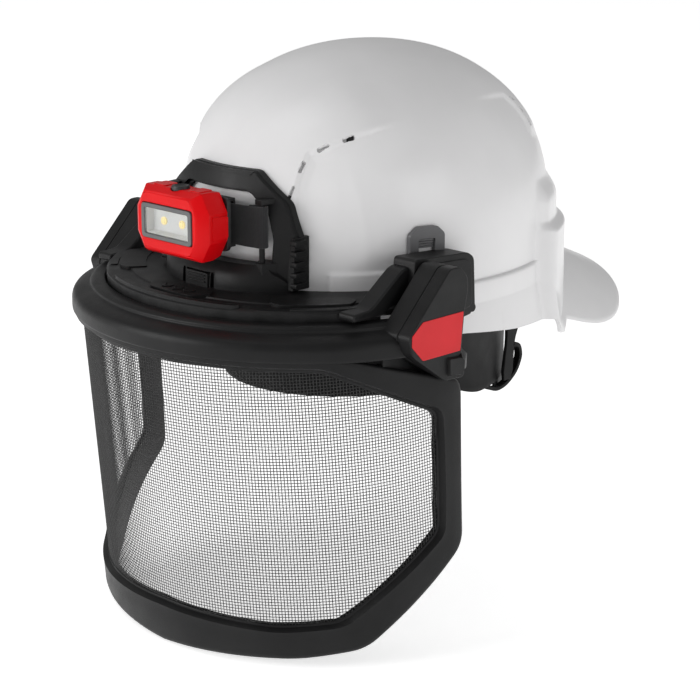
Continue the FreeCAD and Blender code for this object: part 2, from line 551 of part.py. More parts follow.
headband = band(0.0, BAND_THICK, BAND_LOW_Z, BAND_TOP_Z).cut(box(-31, 31, 0, 120, -80, 20))
save("headband", headband)
pad = band(-4.2, 4.0, BAND_LOW_Z + 2, BAND_TOP_Z - 2).common(box(-80, 80, -120, -30, -80, 20))
save("brow_pad", pad)
key_shell = dome(-SHELL_WALL - 0.1, -40.0, True)
keys = []
for x, y in KEY_POINTS:
    key = box(x - 16, x + 18, y - 8, y + 8, 3.0, 15.0).common(key_shell)
    key = key.cut(dome(0.05 - STRAP_INSET, -10.0, False))
    keys.append(key)
    keys.append(mirrored(key))
save("suspension_keys", Part.makeCompound(keys))
crown_names = ("crown_strap_lower", "crown_strap_upper")
for name, out, sign in zip(crown_names, (-1.6 - STRAP_INSET, -STRAP_INSET), (1, -1)):
    arch_strap = dome(out, BAND_TOP_Z, False).cut(dome(out - 1.2, BAND_TOP_Z - 2.0, False))
    lane = box(-9, 9, -150, 150, BAND_TOP_Z, 200)
    lane.rotate(V(0, 0, 0), V(0, 0, 1), sign * 47.0)
    save(name, arch_strap.common(lane))
crown_pad = dome(-28.1, 60.0, False).cut(dome(-32.0, 60.0, False)).common(ellipse_prism(34, 38, 0, 60, 200))
save("crown_pad", crown_pad)
hanger_outline = [
    (77.5, -60), (80.0, -60), (80.0, -44), (82.5, -14), (95.5, 9), (92.5, 11), (80.0, -13), (77.5, -44),
]
hanger = prism(hanger_outline, "xz", 48, 62)
foot = box(74.0, 80.0, 49, 61, -76.0, -60.0)
hanger = fused([hanger, foot]).cut(rod(70, 55, CHIN_HOLE_Z, CHIN_HOLE_RADIUS, 20, (1, 0, 0)))
save_pair("rear_hanger", hanger)
nape = band(-1.0, 1.8, -76.0, -60.2).common(box(-120, 120, 44, 140, -90, 20))
nape = fused([nape, box(-14, 14, 101.1, 102.7, -62.0, KNOB_Z - 18)]).cut(foot).cut(mirrored(foot))
save("nape_band", max(nape.Solids, key=lambda s: s.Volume))
nape_pad = band(-5.2, 4.2, -74.0, -62.0).common(box(-60, 60, 60, 140, -90, 20))
save("nape_pad", nape_pad)

# ================= ratchet =================
housing = rounded_prism([(-30, KNOB_Z - 18), (30, KNOB_Z - 18), (30, KNOB_Z + 18), (-30, KNOB_Z + 18)],
                        "xz", 96.0, 104.0, 8.0)
housing = housing.cut(box(-40, 40, 98.4, 102.2, KNOB_Z - 12.0, KNOB_Z + 12.0))
housing = housing.cut(rod(0, 95, KNOB_Z, 3.05, 20, (0, 1, 0)))
save("ratchet_housing", housing)
cover = rounded_prism([(-28, KNOB_Z - 16), (28, KNOB_Z - 16), (28, KNOB_Z + 16), (-28, KNOB_Z + 16)],
                      "xz", 104.0, 106.4, 7.0)
save("ratchet_cover", cover.cut(rod(0, 100, KNOB_Z, 3.05, 20, (0, 1, 0))))
knob = rod(0, 107.2, KNOB_Z, KNOB_RADIUS, 13.0, (0, 1, 0))
for i in range(16):
    angle = 2 * math.pi * i / 16
    groove_x = (KNOB_RADIUS + 0.9) * math.cos(angle)
    groove_z = KNOB_Z + (KNOB_RADIUS + 0.9) * math.sin(angle)
    knob = knob.cut(rod(groove_x, 110.0, groove_z, 2.2, 12, (0, 1, 0)))
spindle = rod(0, 97.0, KNOB_Z, 3.0, 10.4, (0, 1, 0))
save("ratchet_knob", fused([knob, spindle]))
pinion = rod(0, 98.9, KNOB_Z, 4.6, 2.8, (0, 1, 0)).cut(rod(0, 98, KNOB_Z, 3.0, 5, (0, 1, 0)))
save("ratchet_pinion", pinion)


def tail(low_z):
    rack = box(-20, 36, 99.2, 101.4, low_z, low_z + 6.0)
    for i in range(9):
        rack = rack.cut(box(-16 + 4.2 * i, -14 + 4.2 * i, 99.9, 102, low_z + 1.5, low_z + 4.5))
    hook = band(BAND_THICK + 0.5, 1.6, low_z, low_z + 6.0).common(box(33, 62, 40, 120, -90, 20))
    link = prism([(33.0, 101.4), (36.0, 101.4), (40.0, 95.0), (36.0, 95.2)], "xy", low_z, low_z + 6.0)
    return fused([rack, hook, link])


save("band_tail_left", tail(KNOB_Z + 5.2))
save("band_tail_right", mirrored(tail(KNOB_Z - 11.2)))
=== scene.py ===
import json
import math

import bmesh
import bpy
import numpy as np
from mathutils import Matrix, Vector


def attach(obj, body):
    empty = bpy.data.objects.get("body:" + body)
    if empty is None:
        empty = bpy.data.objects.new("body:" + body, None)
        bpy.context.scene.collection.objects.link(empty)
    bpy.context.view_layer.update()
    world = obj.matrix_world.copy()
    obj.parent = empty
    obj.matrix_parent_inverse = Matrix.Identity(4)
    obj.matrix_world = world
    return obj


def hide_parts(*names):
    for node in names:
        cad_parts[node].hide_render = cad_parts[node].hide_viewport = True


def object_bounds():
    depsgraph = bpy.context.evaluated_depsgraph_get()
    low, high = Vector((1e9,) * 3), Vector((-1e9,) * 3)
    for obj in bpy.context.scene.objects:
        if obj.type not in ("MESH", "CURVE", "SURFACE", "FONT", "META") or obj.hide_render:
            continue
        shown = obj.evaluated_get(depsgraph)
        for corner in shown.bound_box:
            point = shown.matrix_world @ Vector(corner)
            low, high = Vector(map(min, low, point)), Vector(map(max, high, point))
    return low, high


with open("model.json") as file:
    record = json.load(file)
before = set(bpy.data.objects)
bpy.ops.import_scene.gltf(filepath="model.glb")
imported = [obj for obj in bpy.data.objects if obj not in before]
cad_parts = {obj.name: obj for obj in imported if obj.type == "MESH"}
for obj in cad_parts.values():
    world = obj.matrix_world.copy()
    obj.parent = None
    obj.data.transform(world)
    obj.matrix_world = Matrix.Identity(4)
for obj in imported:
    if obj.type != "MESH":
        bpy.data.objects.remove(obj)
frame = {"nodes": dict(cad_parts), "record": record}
nodes = frame["nodes"]
cad_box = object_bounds()

MM = 0.001
WHITE = (1.0, 1.0, 1.0, 1.0)

# Camera: direction and roll in degrees, distance and target in metres, lens and sensor in millimetres.
CAMERA_AZIMUTH = 43.95
CAMERA_ELEVATION = 15.70
CAMERA_ROLL = 0.19
CAMERA_DISTANCE = 1.365
CAMERA_TARGET = Vector((0.0, -0.0175, -0.035))
LENS_MM = 104.9
SENSOR_MM = 36.0
SHIFT_X = 0.0031
SHIFT_Y = -0.0119

# Studio: floor half side and glow, world strength, and lights as name, place, target, size, power.
FLOOR_HALF = 6.0
FLOOR_GLOW = 0.62
WORLD_STRENGTH = 0.38
LIGHTS = [
    ("key", (-1.3, -2.4, 0.75), (0, -0.05, 0), (1.5, 1.2), 36.0),
    ("fill", (2.7, 0.3, 0.6), (0, -0.05, 0), (1.4, 1.2), 11.0),
    ("top", (-0.5, -0.9, 2.4), (0, 0, 0), (1.2, 1.2), 5.0),
]

# Shell, as the frame has it.
DOME_HALF_WIDTH = 110.9
DOME_HALF_LENGTH = 131.5
DOME_BASE_Z = 56.2
DOME_HEIGHT = 108.9
DOME_POWER = 2.17
SHELL_WALL = 2.8
GUTTER_Z = 27.0
BRIM_FLARE = 4.6
BRIM_LIP = 2.4
BRIM_LEAST = 3.4
BILL_HALF_WIDTH = 97.0
BILL_START_Y = 90.0
BILL_LENGTH = 117.4
BILL_POWER = 2.8
BILL_ARCH_RADIUS = 110.0
BILL_CREST_Z = 27.0
BILL_CREST_Y = 125.0
BILL_SLOPE = 0.41
HOOD_RISE = 1.9
PANEL_DIP = 0.9
CREASE_RISE = 0.35
LEDGE_RISE = 1.6
BACK_PANEL_RISE = 6.0
BACK_BLOCK_RISE = 12.0
CREASE_Z = 12.0
SHELL_COLUMNS = 720
CROWN_ROWS = 150
WALL_ROWS = 36
BILL_ROWS = 22
RIM_Y = (-150, -110, -60, -27, 21, 65, 88, 140)
RIM_Z = (8.4, 4.4, -0.6, -2.6, -8.6, -11.6, -13, -20)
GUTTER_STEPS = [(0.0, 27.3), (-0.9, 26.9), (-0.8, 26.3), (1.4, 25.9), (2.0, 25.3), (2.1, 24.0)]
HOOD_FRONT_RIDGE = [(49.0, -119.5, 60), (49.4, -116.9, 70.1), (49.7, -110.6, 93.8), (50.0, -102.6, 108.4),
                    (58.8, -93.5, 111.4), (66.6, -79.4, 118.1), (79.1, -47.3, 126.4)]
HOOD_REAR_RIDGE = [(82.9, 8.3, 132.7), (80.2, 29.0, 132.0), (75.1, 48.0, 130.3), (78.2, 55.7, 123.0),
                   (82.3, 61.3, 113.7), (87.6, 63.4, 102.3)]
VENTS = [((46.1, -116.3, 83.1), (47.5, -113.0, 91.0)), ((48.1, -109.5, 98.3), (48.6, -105.5, 105.3)),
         ((52.6, -99.1, 110.7), (57.1, -92.9, 114.0)), ((61.6, -86.7, 116.3), (65.7, -80.0, 118.7)),
         ((73.8, 54.0, 127.8), (73.0, 60.0, 126.0)), ((75.6, 61.0, 122.4), (77.4, 63.4, 118.5)),
         ((79.0, 66.0, 114.5), (81.0, 68.3, 109.6))]
VENT_WIDTH = 2.4

# Face shield.
SHIELD_HALF_WIDTH = 138.6
SHIELD_DEPTH = 126.7
SHIELD_RADIUS = 132.6
SHIELD_CENTRE_Y = -69.7
SHIELD_LEAN = 5.44
SHIELD_DATUM_Z = -35.0
RING_CENTRE_Y = -74.0
RING_HALF_RUN = 200.0
WIRE_DIAMETER = 0.52
WIRE_PITCH = 1.96
WIRE_PITCH_UP = 1.98
WEAVE_RISE = 0.22
SCREEN_HALF_RUN = 196.0
SCREEN_LOW = -182.0
SPARE_ROWS = 8
SCREEN_TOP = 12.0
SCREEN_EDGE_RUN = (0, 81, 120, 190, 195, 197)
SCREEN_EDGE_LOW = (-171, -174, -170, -118, -60, -50)
SCREEN_EDGE_TOP = (-2, -2, -2, -34, -38, -50)
CORNER_SPANS = 6
WINDOW_EDGE = [(0, -168), (81, -171), (119.9, -166.4), (189.3, -115), (192.6, -38.8), (118.9, -5.5), (0, -5.5)]
FRAME_EDGE = [(0, -197.3), (92.6, -192), (134, -185.5), (207.6, -128), (213.4, -20), (118.9, 7), (0, 7)]
# Band section: which edge it is measured from (0 window, 1 outer), how far in from it, and its offset.
BAND_SECTION = [(0, 0.0, -3.0), (0, 0.0, 0.3), (0, 0.5, 0.8), (0, 1.8, 0.8), (0, 2.6, 2.6), (0, 3.8, 4.6),
                (0, 5.6, 4.5), (0, 7.8, 4.4), (0, 10.0, 4.4), (1, 3.2, 4.4), (1, 1.2, 3.9), (1, 0.2, 3.0),
                (1, 0.0, 1.0), (1, 0.3, -2.0), (1, 1.5, -3.0)]
RING_PROFILE = [(6.0, 1.0), (6.0, 9.5), (4.3, 13.0), (0.0, 15.0), (-6.0, 16.5), (-6.0, 18.6), (-8.5, 20.5),
                (-15.8, 20.5), (-15.8, 17.5), (-9.0, 13.5), (-5.0, 10.0), (-5.0, 1.0)]

# Arms, labels, latch blocks: outlines are (y, z).
ARM_IN_X = 122.6
ARM_SEAM_X = 136.0
ARM_OUT_X = 146.0
ARM_CENTRE = (-82.0, 12.0)
ARM_OUTLINE = [(-82, 51), (-73, 51), (-66.5, 44.5), (-65.5, 37), (-68.4, 23.6), (-70.8, -0.7), (-67.5, -16),
               (-70, -18), (-85.4, -17), (-114, 3.3), (-117.8, 14.9), (-86.5, 46.4)]
ARM_WEB = [(-122, 10), (-86, -10), (-80, -28), (-124, -14)]
ARM_WEB_X = (118.0, 130.5)
LABEL_OUTLINE = [(-105.8, 23.2), (-69.8, 23.2), (-72.2, -0.7), (-105.5, -0.4), (-115.2, 9.6), (-115.2, 16.0)]
BUTTON_OUTLINE = [(-84.9, -1.6), (-72.4, -2.9), (-69.6, 1.4), (-62.2, -5), (-62.6, -13.8), (-70, -17.6),
                  (-84.4, -15.9)]
BUTTON_CENTRE = (-74.0, -8.5)
BUTTON_FACE = [(-83.4, -3.6), (-73.2, -4.7), (-70.0, -6.6), (-70.4, -12.6), (-72.4, -15.0), (-82.8, -13.6)]

# Brim guard and carriers.
ROOF_TOP_Z = 27.0
LIP_HALF_RUN = 165.0
LIP_SECTION = [(-16.7, 12.5), (-16.7, 24.0), (-18.6, 24.0), (-18.6, 12.5)]
GUARD_HALF_RUN = 190.0
GUARD_SECTION = [(0.0, 22.0), (0.0, 25.4), (0.03, 26.6), (0.08, 27.0), (0.3, 27.0), (0.31, 27.9), (0.33, 28.1),
                 (1.0, 28.1), (1.0, 22.0)]
GUARD_STEPS = [
    ([(-62, -17.6), (62, -17.6), (66, -20.4), (60, -22.4), (-60, -22.4), (-66, -20.4)], 26.0, 28.6),
    ([(-28, -42), (28, -42), (34, -34), (22, -25.5), (-22, -25.5), (-34, -34)], 26.0, 28.9),
    ([(84, -42), (150, -42), (156, -34), (146, -25), (92, -25), (84, -30)], 26.0, 28.9),
    ([(100, -24), (165, -24), (165, -18.6), (100, -18.6)], 26.0, 27.7),
]
GUARD_ARM_OUT_X = 117.0
GUARD_ARM_OUTLINE = [(-72, 48), (-88, 48), (-92, 47), (-102, 40), (-119, 27.6), (-134, 27.0), (-134, 22), (-108, 22),
                     (-94, 23), (-72, 23)]
MOUNT_OUT_X = 122.0
CARRIER_IN_X = 104.0
CARRIER_OUTLINE = [(-86, 53), (-38, 50), (-32, 46), (-30, 12), (-46, 8), (-82, 12), (-88, 32)]
CARRIER_FACE = [(-84, 49), (-40, 46.5), (-35, 43), (-33.5, 16), (-46, 13), (-80, 16), (-85, 32)]
CLIP_OUTLINE = [(-66, 42), (-66, 61), (-61, 66), (-49, 66), (-44, 61), (-44, 42)]
CLIP_WINDOW = [(-61, 47.5), (-61, 58.5), (-50.4, 58.5), (-50.4, 47.5)]
CLIP_CENTRE = (-55.0, 54.0)

# Lamp mount: outlines are (x, z) on the front of the shell.
MOUNT_OUTLINE = [(28, 100), (51, 82), (58, 62), (57, 32), (44, 24), (-44, 24), (-57, 32), (-58, 62), (-51, 82),
                 (-28, 100)]
MOUNT_OPENING = [(26, 87), (39.5, 76), (43.5, 60), (42, 40), (-42, 40), (-43.5, 60), (-39.5, 76), (-26, 87)]
MOUNT_CENTRE = (0.0, 61.0)
MOUNT_LOW_OUT = 0.8
MOUNT_TOP_OUT = 8.6
MOUNT_POINTS = 240
BASE_HALF_WIDTH = 58.0
BASE_DEPTH = 40.0
BASE_CENTRE_Y = -111.5
BASE_LEVELS = [(21.0, 48.5, 1.0), (30.0, 56.0, 1.0), (36.5, 52.0, 0.985), (40.0, 47.0, 0.93), (44.5, 43.0, 0.84)]
POST_X = 40.0
POST_Y = -134.0
POST_RADIUS = 1.8

# Headlamp.
LAMP_FACE = [(-32, 9), (-25, 21), (25, 21), (32, 9), (32, -9), (25, -21), (-25, -21), (-32, -9)]
LAMP_LOFT = [(-175.0, 0.80), (-174.2, 0.86), (-169.0, 1.0), (-160.5, 1.0), (-152.4, 0.93)]
LAMP_MID_Z = 70.0
LAMP_CENTRE = (0.0, LAMP_MID_Z)
LAMP_FRONT_Y = -175.0
LAMP_BACK_Y = -152.0
BEZEL_HALF = (22.8, 11.0)
# Tray behind the lens: half width, half height and depth of its levels.
TRAY_LEVELS = [(19.3, 7.9, 1.2), (18.0, 6.6, 5.8), (17.6, 6.2, 6.0)]
DIODE_X = 8.2
SWITCH_X = 2.0
SWITCH_Y = -165.0
SWITCH_LEVELS = [(5.4, 90.0), (5.6, 91.9), (5.2, 92.7), (4.2, 92.9), (3.4, 92.3), (2.6, 92.0)]
STRAP_LOW_Z = 55.5
STRAP_TOP_Z = 80.5
STRAP_THICK = 1.6
STRAP_PATH = [(20.0, -139.9), (30.0, -138.9), (38.2, -137.2), (41.6, -136.8), (43.6, -133.8),
              (41.4, -130.7), (37.6, -131.2), (30.0, -134.9)]

# Suspension and ratchet.
BAND_HALF_WIDTH = 84.0
BAND_HALF_LENGTH = 102.0
BAND_THICK = 1.6
KNOB_Z = -40.0
KNOB_BACK_Y = 120.2
KNOB_RIBS = 18
# Size knob: radius, distance back and rib depth of its levels.
KNOB_LEVELS = [(17.0, 107.3, 0.0), (18.4, 107.8, 0.6), (18.8, 110.0, 1.1), (18.6, 117.6, 1.3),
               (17.4, KNOB_BACK_Y - 0.7, 0.8), (15.6, KNOB_BACK_Y, 0.2), (9.0, KNOB_BACK_Y, 0.0),
               (8.0, KNOB_BACK_Y - 1.2, 0.0)]
CROWN_STRAP_ARC = 122.0
CROWN_STRAP_SPAN = 190.0
PAD_VOXEL = 1.4
PAD_PRESSURE = 4.0
PAD_STEPS = 20
PAD_SWELL = 0.9
PAD_CHANNEL_DEGREES = 24.0
# Rear hangers: height, centre across, front and rear edge, thickness.
HANGER_LEVELS = [(-60.0, 78.8, 50.5, 57.0, 2.4), (-54.0, 78.8, 49.6, 59.0, 3.0), (-36.0, 79.0, 52.0, 60.2, 2.6),
                 (-31.0, 79.6, 51.6, 60.6, 2.6), (-14.0, 81.4, 49.4, 65.0, 2.8), (9.0, 93.8, 49.0, 61.0, 2.8)]
LOOP_PATH = [(59.5, -36.0), (66.0, -38.0), (69.0, -46.0), (65.0, -56.2), (55.6, -63.6), (47.0, -66.0), (36.0, -62.0)]


# Moulded plastics: name, darker and lighter colour, roughness, surface options, other shader settings.
MOULDED = [
    ("shell_white", (0.80, 0.795, 0.80), (0.83, 0.825, 0.83), 0.30, {"gloss_drift": 0.012, "ripple": 0.004},
     {"Coat_Weight": 0.2, "Coat_Roughness": 0.12, "Specular_IOR_Level": 0.45}),
    # The black frame's edge option is a painted highlight that lightens its convex edges.
    ("black_frame", (0.0055, 0.0055, 0.0058), (0.0095, 0.0095, 0.0098), 0.44,
     {"grain": 0.25, "grain_scale": 2200.0, "painted_edge_highlight": 0.15}, {"Specular_IOR_Level": 0.22}),
    ("clip_grey", (0.10, 0.10, 0.105), (0.13, 0.13, 0.135), 0.38, {"grain": 0.15}, {}),
    ("suspension_black", (0.004, 0.004, 0.0042), (0.007, 0.007, 0.0073), 0.55, {"grain": 0.1},
     {"Specular_IOR_Level": 0.2}),
    ("red_plastic", (0.66, 0.001, 0.003), (0.74, 0.0015, 0.005), 0.36, {"grain": 0.12, "grain_scale": 2800.0},
     {"Specular_IOR_Level": 0.14}),
    ("label_red", (0.60, 0.005, 0.010), (0.68, 0.008, 0.015), 0.34, {}, {"Specular_IOR_Level": 0.3}),
    ("bezel_grey", (0.09, 0.09, 0.092), (0.12, 0.12, 0.122), 0.45, {"grain": 0.1}, {}),
    ("lamp_black", (0.012, 0.012, 0.013), (0.02, 0.02, 0.02), 0.45, {"grain": 0.2}, {}),
    ("reflector_white", (0.80, 0.80, 0.78), (0.86, 0.86, 0.84), 0.25, {}, {}),
    ("cell_jacket", (0.03, 0.03, 0.035), (0.05, 0.05, 0.055), 0.3, {}, {}),
    ("led_yellow", (0.85, 0.62, 0.12), (0.95, 0.75, 0.25), 0.2, {},
     {"Emission_Color": (1.0, 0.85, 0.45, 1.0), "Emission_Strength": 0.35}),
]


# ---------------------------------------------------------------- node helpers
class Graph:
    """A material's node tree with short calls for the nodes that the materials share."""

    def __init__(self, name):
        self.material = bpy.data.materials.new(name)
        self.material.use_nodes = True
        self.tree = self.material.node_tree
        self.shader = self.tree.nodes["Principled BSDF"]
        self.coords = self.tree.nodes.new("ShaderNodeTexCoord").outputs["Object"]

    def put(self, socket, value):
        if isinstance(value, bpy.types.NodeSocket):
            self.tree.links.new(value, socket)
        elif value is not None:
            socket.default_value = value

    def node(self, kind, **inputs):
        made = self.tree.nodes.new(kind)
        for key, value in inputs.items():
            self.put(made.inputs[key.replace("_", " ")], value)
        return made

    def noise(self, scale, detail=3.0, rough=0.5):
        made = self.node("ShaderNodeTexNoise", Vector=self.coords, Scale=scale, Detail=detail, Roughness=rough)
        return made.outputs["Fac"]

    def voronoi(self, scale):
        return self.node("ShaderNodeTexVoronoi", Vector=self.coords, Scale=scale).outputs["Distance"]

    def ramp(self, value, low, high, to_low=0.0, to_high=1.0):
        return self.node("ShaderNodeMapRange", Value=value, From_Min=low, From_Max=high, To_Min=to_low,
                         To_Max=to_high).outputs["Result"]

    def math(self, operation, a, b=None):
        made = self.tree.nodes.new("ShaderNodeMath")
        made.operation = operation
        for socket, value in zip(made.inputs, (a, b)):
            self.put(socket, value)
        return made.outputs[0]

    def mix(self, factor, a, b):
        made = self.tree.nodes.new("ShaderNodeMix")
        made.data_type = "RGBA"
        self.tree.links.new(factor, made.inputs["Factor"])
        for socket, value in ((made.inputs[6], a), (made.inputs[7], b)):
            self.put(socket, value if isinstance(value, bpy.types.NodeSocket) else (*value, 1.0))
        return made.outputs[2]

    def set(self, **values):
        for key, value in values.items():
            self.put(self.shader.inputs[key.replace("_", " ")], value)

    def bump(self, height, strength, distance):
        made = self.node("ShaderNodeBump", Height=height, Strength=strength, Distance=distance)
        self.tree.links.new(made.outputs["Normal"], self.shader.inputs["Normal"])


def moulded(name, base, light, roughness, grain=0.0, grain_scale=2600.0, painted_edge_highlight=0.0, gloss_drift=0.05,
            ripple=0.02):
    """Moulded plastic: slight colour drift, uneven gloss, an optional fine leather grain and an optional painted edge
    highlight.
    """
    g = Graph(name)
    drift = g.ramp(g.noise(22.0, 4.0), 0.35, 0.65)
    colour = g.mix(drift, base, light)
    if painted_edge_highlight:
        # Painted highlight: convex edges, found by pointiness and broken up by noise, are lightened to stand in for
        # the light that rounded edges catch.
        edge = g.tree.nodes.new("ShaderNodeNewGeometry").outputs["Pointiness"]
        painted_highlight_mask = g.math("MULTIPLY", g.ramp(edge, 0.52, 0.60), g.ramp(g.noise(90.0, 5.0), 0.40, 0.65, 0.0, painted_edge_highlight))
        colour = g.mix(painted_highlight_mask, colour, tuple(min(1.0, c * 2.2 + 0.05) for c in light))
    g.set(Base_Color=colour)
    g.set(Roughness=g.ramp(g.noise(60.0, 5.0, 0.6), 0.3, 0.7, roughness - gloss_drift, roughness + gloss_drift))
    if grain:
        pits = g.math("ADD", g.voronoi(grain_scale), g.noise(grain_scale * 0.6, 2.0))
        g.bump(pits, grain, 0.0002)
    else:
        g.bump(g.noise(180.0, 2.0), ripple, 0.0005)
    return g


def make_materials():
    made = {}
    for name, base, light, roughness, options, extras in MOULDED:
        g = moulded(name, base, light, roughness, **options)
        g.set(**extras)
        made[name] = g.material

    g = Graph("lens_clear")
    g.set(Base_Color=(0.97, 0.98, 0.985, 1.0), Transmission_Weight=1.0, IOR=1.45)
    g.set(Roughness=g.ramp(g.noise(300.0), 0.3, 0.7, 0.02, 0.06))
    g.bump(g.noise(900.0, 1.0), 0.02, 0.0002)
    made["lens_clear"] = g.material

    g = Graph("mesh_steel")
    g.set(Base_Color=g.mix(g.ramp(g.noise(700.0), 0.4, 0.6), (0.012, 0.012, 0.012), (0.03, 0.03, 0.03)))
    g.set(Roughness=g.ramp(g.noise(1500.0), 0.3, 0.7, 0.38, 0.52), Metallic=0.0)
    g.bump(g.noise(4000.0, 1.0), 0.1, 0.0001)
    made["mesh_steel"] = g.material

    g = Graph("pin_steel")
    g.set(Base_Color=g.mix(g.ramp(g.noise(400.0), 0.4, 0.6), (0.45, 0.45, 0.46), (0.58, 0.58, 0.6)), Metallic=1.0)
    g.set(Roughness=g.ramp(g.noise(800.0), 0.3, 0.7, 0.25, 0.4))
    made["pin_steel"] = g.material

    made["webbing_black"] = woven("webbing_black", (0.008, 0.008, 0.009), (0.026, 0.026, 0.028), 900.0)
    made["foam_black"] = woven("foam_black", (0.014, 0.014, 0.015), (0.03, 0.03, 0.032), 700.0)
    return made


def woven(name, dark, light, scale):
    """Close woven webbing: two crossed sets of ribs with fuzz between them."""
    g = Graph(name)
    waves = []
    for axis in ("X", "Z"):
        wave = g.node("ShaderNodeTexWave", Vector=g.coords, Scale=scale * 0.5, Distortion=0.6, Detail=1.0)
        wave.bands_direction = axis
        waves.append(wave.outputs["Fac"])
    ribs = g.math("MULTIPLY", waves[0], waves[1])
    fuzz = g.noise(scale * 3.0, 4.0)
    g.set(Base_Color=g.mix(g.math("ADD", g.math("MULTIPLY", ribs, 0.7), g.math("MULTIPLY", fuzz, 0.3)), dark, light))
    g.set(Roughness=g.ramp(fuzz, 0.3, 0.7, 0.75, 0.95), Sheen_Weight=0.25, Sheen_Roughness=0.5)
    g.bump(g.math("ADD", ribs, fuzz), 0.5, 0.0003)
    return g.material


# ---------------------------------------------------------------- stage, light and camera
def make_stage():
    floor = bpy.data.meshes.new("floor")
    low = cad_box[0][2] - 0.0005
    corners = [(a * FLOOR_HALF, b * FLOOR_HALF, low) for a, b in ((-1, -1), (1, -1), (1, 1), (-1, 1))]
    floor.from_pydata(corners, [], [(0, 1, 2, 3)])
    ground = new_object("floor", floor)
    g = Graph("floor_paint")
    g.set(Base_Color=g.mix(g.noise(3.0), (0.93, 0.93, 0.93), (0.95, 0.95, 0.95)), Roughness=0.9)
    g.set(Specular_IOR_Level=0.1, Emission_Color=WHITE, Emission_Strength=FLOOR_GLOW)
    ground.data.materials.append(g.material)

    world = bpy.data.worlds.new("studio")
    world.use_nodes = True
    sky = world.node_tree.nodes["Background"].inputs
    sky["Color"].default_value = WHITE
    sky["Strength"].default_value = WORLD_STRENGTH
    bpy.context.scene.world = world


def area_light(name, place, target, size, power):
    data = bpy.data.lights.new(name, "AREA")
    data.shape = "RECTANGLE"
    data.size = size[0]
    data.size_y = size[1]
    data.energy = power
    lamp = new_object(name, data)
    lamp.location = place
    lamp.rotation_euler = (Vector(target) - Vector(place)).to_track_quat("-Z", "Y").to_euler()


def light_studio():
    """A white product-shot studio: a big soft key from the front left, a weaker fill and a low top light."""
    for light in LIGHTS:
        area_light(*light)
    bpy.context.scene.view_settings.view_transform = "Standard"


def make_camera():
    azimuth = math.radians(CAMERA_AZIMUTH)
    elevation = math.radians(CAMERA_ELEVATION)
    roll = math.radians(CAMERA_ROLL)
    back = Vector((math.sin(azimuth) * math.cos(elevation), -math.cos(azimuth) * math.cos(elevation),
                   math.sin(elevation)))
    right = Vector((math.cos(azimuth), math.sin(azimuth), 0.0))
    up = back.cross(right)
    turned = (right * math.cos(roll) + up * math.sin(roll), up * math.cos(roll) - right * math.sin(roll), back)
    data = bpy.data.cameras.new("camera")
    data.lens = LENS_MM
    data.sensor_width = SENSOR_MM
    data.shift_x = SHIFT_X
    data.shift_y = SHIFT_Y
    data.clip_end = 20.0
    camera = new_object("camera", data)
    turn = Matrix(turned).transposed().to_4x4()
    camera.matrix_world = Matrix.Translation(CAMERA_TARGET + back * CAMERA_DISTANCE) @ turn
    bpy.context.scene.camera = camera


# ---------------------------------------------------------------- mesh helpers, in millimetres
def turns(count):
    """Equal angles, once round."""
    return [2.0 * math.pi * k / count for k in range(count)]


def sweep(count):
    """Even steps from -1 to 1."""
    return [2.0 * k / count - 1.0 for k in range(count + 1)]


def rect(low_u, high_u, low_v, high_v):
    return [(low_u, low_v), (high_u, low_v), (high_u, high_v), (low_u, high_v)]


def fillet(points, radius, steps=5, closed=True):
    """The outline with every corner replaced by an arc of `steps` spans."""
    corners = [Vector(p) for p in points]
    count = len(corners)
    out = []
    for i, corner in enumerate(corners):
        if not closed and i in (0, count - 1):
            out.append(tuple(corner))
            continue
        back = corners[i - 1] - corner
        ahead = corners[(i + 1) % count] - corner
        reach = min(radius, back.length * 0.45, ahead.length * 0.45)
        start = corner + back.normalized() * reach
        end = corner + ahead.normalized() * reach
        for k in range(steps + 1):
            t = k / steps
            out.append(tuple(start.lerp(corner, t).lerp(corner.lerp(end, t), t)))
    return out


def smooth_step(low, high, value):
    t = np.clip((value - low) / (high - low), 0.0, 1.0)
    return t * t * (3.0 - 2.0 * t)


def place_xy(u, v, w):
    return (u, v, w)


def place_yz(u, v, w):
    return (w, u, v)


def place_xz(u, v, w):
    return (u, w, v)


def flipped(place):
    """The same placement mirrored to the wearer's right."""
    def place_right(u, v, w):
        x, y, z = place(u, v, w)
        return (-x, y, z)
    return place_right


SIDES = (("left", place_yz), ("right", flipped(place_yz)))


def skin_loops(bm, loops):
    """Quads between neighbouring loops of vertices that run round the section."""
    rows = [[bm.verts.new(p) for p in loop] for loop in loops]
    count = len(rows[0])
    for low, high in zip(rows, rows[1:]):
        for i in range(count):
            j = (i + 1) % count
            bm.faces.new((low[i], low[j], high[j], high[i]))
    return rows


def add_skin(bm, loops):
    """A closed form: the skin over the loops and a face at each end."""
    rows = skin_loops(bm, loops)
    bm.faces.new(rows[0][::-1])
    bm.faces.new(rows[-1])


def add_slab(bm, outline, low, high, place=place_xy, cell=0.0):
    """A plate between two levels of an outline. `cell` splits it into squares so that it can be bent by `place`."""
    part = bmesh.new()
    add_skin(part, [[(u, v, w) for u, v in outline] for w in (low, high)])
    split_and_place(part, cell, place)
    merge(bm, part)


def add_plate(bm, bounds, radius, low, high, place=place_xy, steps=3):
    """A rectangular plate with rounded corners; the bounds are as for rect()."""
    add_slab(bm, fillet(rect(*bounds), radius, steps), low, high, place)


def add_window(bm, outer, inner, low, high, place=place_xy, cell=0.0):
    """A plate with a hole: both outlines have the same number of points."""
    part = bmesh.new()
    loops = [[(u, v, low) for u, v in outer], [(u, v, high) for u, v in outer],
             [(u, v, high) for u, v in inner], [(u, v, low) for u, v in inner]]
    rows = skin_loops(part, loops)
    count = len(outer)
    for i in range(count):
        j = (i + 1) % count
        part.faces.new((rows[3][i], rows[3][j], rows[0][j], rows[0][i]))
    split_and_place(part, cell, place)
    merge(bm, part)


